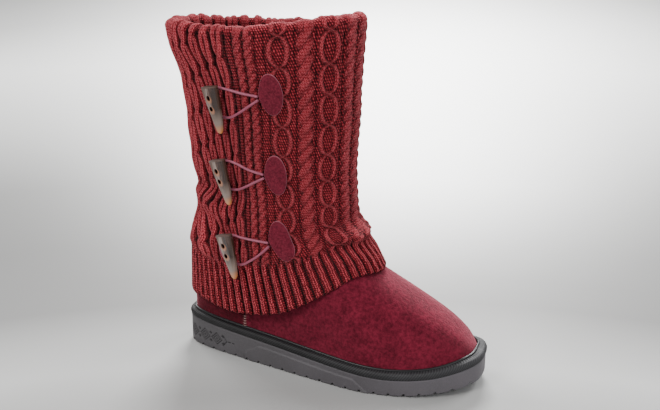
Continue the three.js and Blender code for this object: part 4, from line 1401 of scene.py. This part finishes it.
# Light shining through the thin rim below each hole is painted as a glow, and the hole's wall is painted
# dark as the shade inside it.
for height in HOLES:
    off = vectors(horn_tree, "DISTANCE", local, (0.4, height - 1.2, 7.0))
    glowing = mix(horn_tree, carry(horn_tree, off, 3.9, 2.4, 0.0, 0.7), glowing, (0.4, 0.16, 0.08))
drilled = mix(horn_tree, mark_of(horn_tree, "bore"), glowing, (0.012, 0.004, 0.003))
horn_tree.links.new(drilled, horn_shader.inputs["Base Color"])
scratch = noise(horn_tree, stretched, 9, 3)
rubbed = put(horn_tree, "Bump", {"Strength": 0.15, "Distance": 0.0004, "Height": scratch}).outputs[0]
horn_tree.links.new(rubbed, horn_shader.inputs["Normal"])

for number, fastening in enumerate(FASTENINGS, 1):
    point, out, up = seat(fastening["turn"], fastening["z"])
    lean, turned = np.radians(fastening["lean"]), np.radians(-HORN["turned"])
    up = up * np.cos(lean) + np.cross(out, up) * np.sin(lean)
    face_way = out * np.cos(turned) + np.cross(up, out) * np.sin(turned)
    beside = np.cross(up, face_way)
    point = point + out * (PATCH["thick"] + 2 * CORD_RADIUS + GAP + fastening["off"])
    axes_way = np.stack([beside, up, face_way])
    horn_grid = horn_body(40, 96) @ axes_way + point
    piece = skin(f"horn_toggle_{number}", horn_grid, "horn", around=True, caps=True)
    drill(piece, [hole_cutter(height, axes_way, point) for height in HOLES])
    mesh = piece.data
    places = np.empty(len(mesh.vertices) * 3)
    mesh.vertices.foreach_get("co", places)
    own = (places.reshape(-1, 3) * 1000 + [HEEL_BACK, 0, 0] - point) @ axes_way.T
    rounds = (np.hypot(own[:, 0] + HOLE_LEFT, (own[:, 1] - at) / HOLE_SQUASH) for at in HOLES)
    bore = (np.minimum(*rounds) < HORN["hole"] + 0.1) & (own[:, 2] < HORN["thick"] - 1.0)
    keep_marks(mesh, {"horn": own, "bore": bore, "which": np.full(len(bore), number)})
    mesh.shade_smooth()
    mesh.set_sharp_from_angle(angle=np.radians(24))
    mesh.materials.clear()
    mesh.materials.append(horn)
    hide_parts(f"toggle_{number}")

# Floor and light
# A pale matt floor with a painted pool of light and a painted glow at the back, that runs out of the
# picture, a wide soft light from the upper left, a weaker one from the right, two behind that light the
# edges and one over the floor at the back.
FLOOR_RADIUS, FLOOR_SIDES, FLOOR_DOWN = 9, 64, 0.0002
floor_mesh = bpy.data.meshes.new("floor")
edge_turn = np.linspace(0, 2 * np.pi, FLOOR_SIDES, endpoint=False)
disc = [FLOOR_RADIUS * np.cos(edge_turn), FLOOR_RADIUS * np.sin(edge_turn), 0 * edge_turn - FLOOR_DOWN]
floor_mesh.from_pydata(np.stack(disc, -1).tolist(), [], [list(range(FLOOR_SIDES))])
floor = bpy.data.objects.new("floor", floor_mesh)
bpy.context.scene.collection.objects.link(floor)
paper, paper_tree, paper_shader = material("floor_with_painted_light", 0.75, Specular_IOR_Level=0.2)
# A pool of light is painted into the floor's colour behind the boot, with bands of painted shade and light
# by distance at the sides, and the floor there glows as painted light: by distance from the camera's foot
# and by the way across the picture.
CAMERA_FOOT = (EYE.x, EYE.y, 0)
ACROSS = (float(np.cos(np.radians(AROUND))), float(np.sin(np.radians(AROUND))), 0)
floor_place = own_place(paper_tree)
far = vectors(paper_tree, "DISTANCE", floor_place, CAMERA_FOOT)
tone = carry(paper_tree, far, 0.7, 3.1)
sides = ramp(
    paper_tree,
    tone,
    (0.035, (0.3, 0.3, 0.295)),
    (0.06, (0.36, 0.36, 0.355)),
    (0.117, (0.15, 0.15, 0.148)),
    (0.19, (0.12, 0.12, 0.118)),
    (0.29, (0.12, 0.12, 0.118)),
    (0.43, (0.24, 0.24, 0.237)),
    (0.65, (0.38, 0.38, 0.375)),
)
middle = ramp(
    paper_tree,
    tone,
    (0.035, (0.36, 0.36, 0.355)),
    (0.06, (0.46, 0.46, 0.455)),
    (0.117, (0.38, 0.38, 0.375)),
    (0.19, (0.6, 0.6, 0.595)),
    (0.29, (0.95, 0.95, 0.94)),
)
POOL_RIGHT, POOL_WIDE = 0.05, 0.2
from_eye = vectors(paper_tree, "SUBTRACT", floor_place, CAMERA_FOOT)
across = sums(paper_tree, "DIVIDE", vectors(paper_tree, "DOT_PRODUCT", from_eye, ACROSS), far)
aside = sums(paper_tree, "DIVIDE", sums(paper_tree, "SUBTRACT", across, POOL_RIGHT), POOL_WIDE)
squared = sums(paper_tree, "POWER", aside, 2.0)
painted_light_pool = sums(paper_tree, "EXPONENT", sums(paper_tree, "MULTIPLY", squared, -1.0))
paper_tree.links.new(mix(paper_tree, painted_light_pool, sides, middle), paper_shader.inputs["Base Color"])
# Painted glow: the floor gives out light at the back of the pool.
lit_back = carry(paper_tree, far, 1.05, 1.6, 0.0, 1.4)
paper_tree.links.new(sums(paper_tree, "MULTIPLY", painted_light_pool, lit_back), paper_shader.inputs["Emission Strength"])
paper_shader.inputs["Emission Color"].default_value = (1, 1, 0.99, 1)
floor_mesh.materials.append(paper)


def lamp(name, place, aim, size, power, colour=(1, 1, 1)):
    """Square soft light at a place, turned to an aim."""
    data = bpy.data.lights.new(name, "AREA")
    data.size, data.energy, data.color = size, power, colour
    made = bpy.data.objects.new(name, data)
    made.location = place
    made.rotation_mode = "QUATERNION"
    made.rotation_quaternion = (Vector(aim) - Vector(place)).to_track_quat("-Z", "Y")
    bpy.context.scene.collection.objects.link(made)


lamp("key", (-0.75, -1.75, 1.6), (0.08, 0, 0.15), 0.9, 43, (1, 0.98, 0.96))
lamp("fill", (1.7, -1.1, 0.9), (0.1, 0, 0.1), 1.2, 19, (0.97, 0.98, 1))
lamp("rim_left", (-1.3, 0.8, 0.9), (0.05, 0, 0.2), 0.7, 24)
lamp("rim_right", (1.0, 1.2, 1.3), (0.1, 0, 0.2), 0.7, 24)
lamp("backdrop", (-0.25, 1.6, 1.5), (-0.15, 1.2, 0), 0.8, 120)
world = bpy.data.worlds.new("studio")
world.use_nodes = True
world.node_tree.nodes["Background"].inputs[0].default_value = (1, 1, 1, 1)
world.node_tree.nodes["Background"].inputs[1].default_value = 0.55
bpy.context.scene.world = world
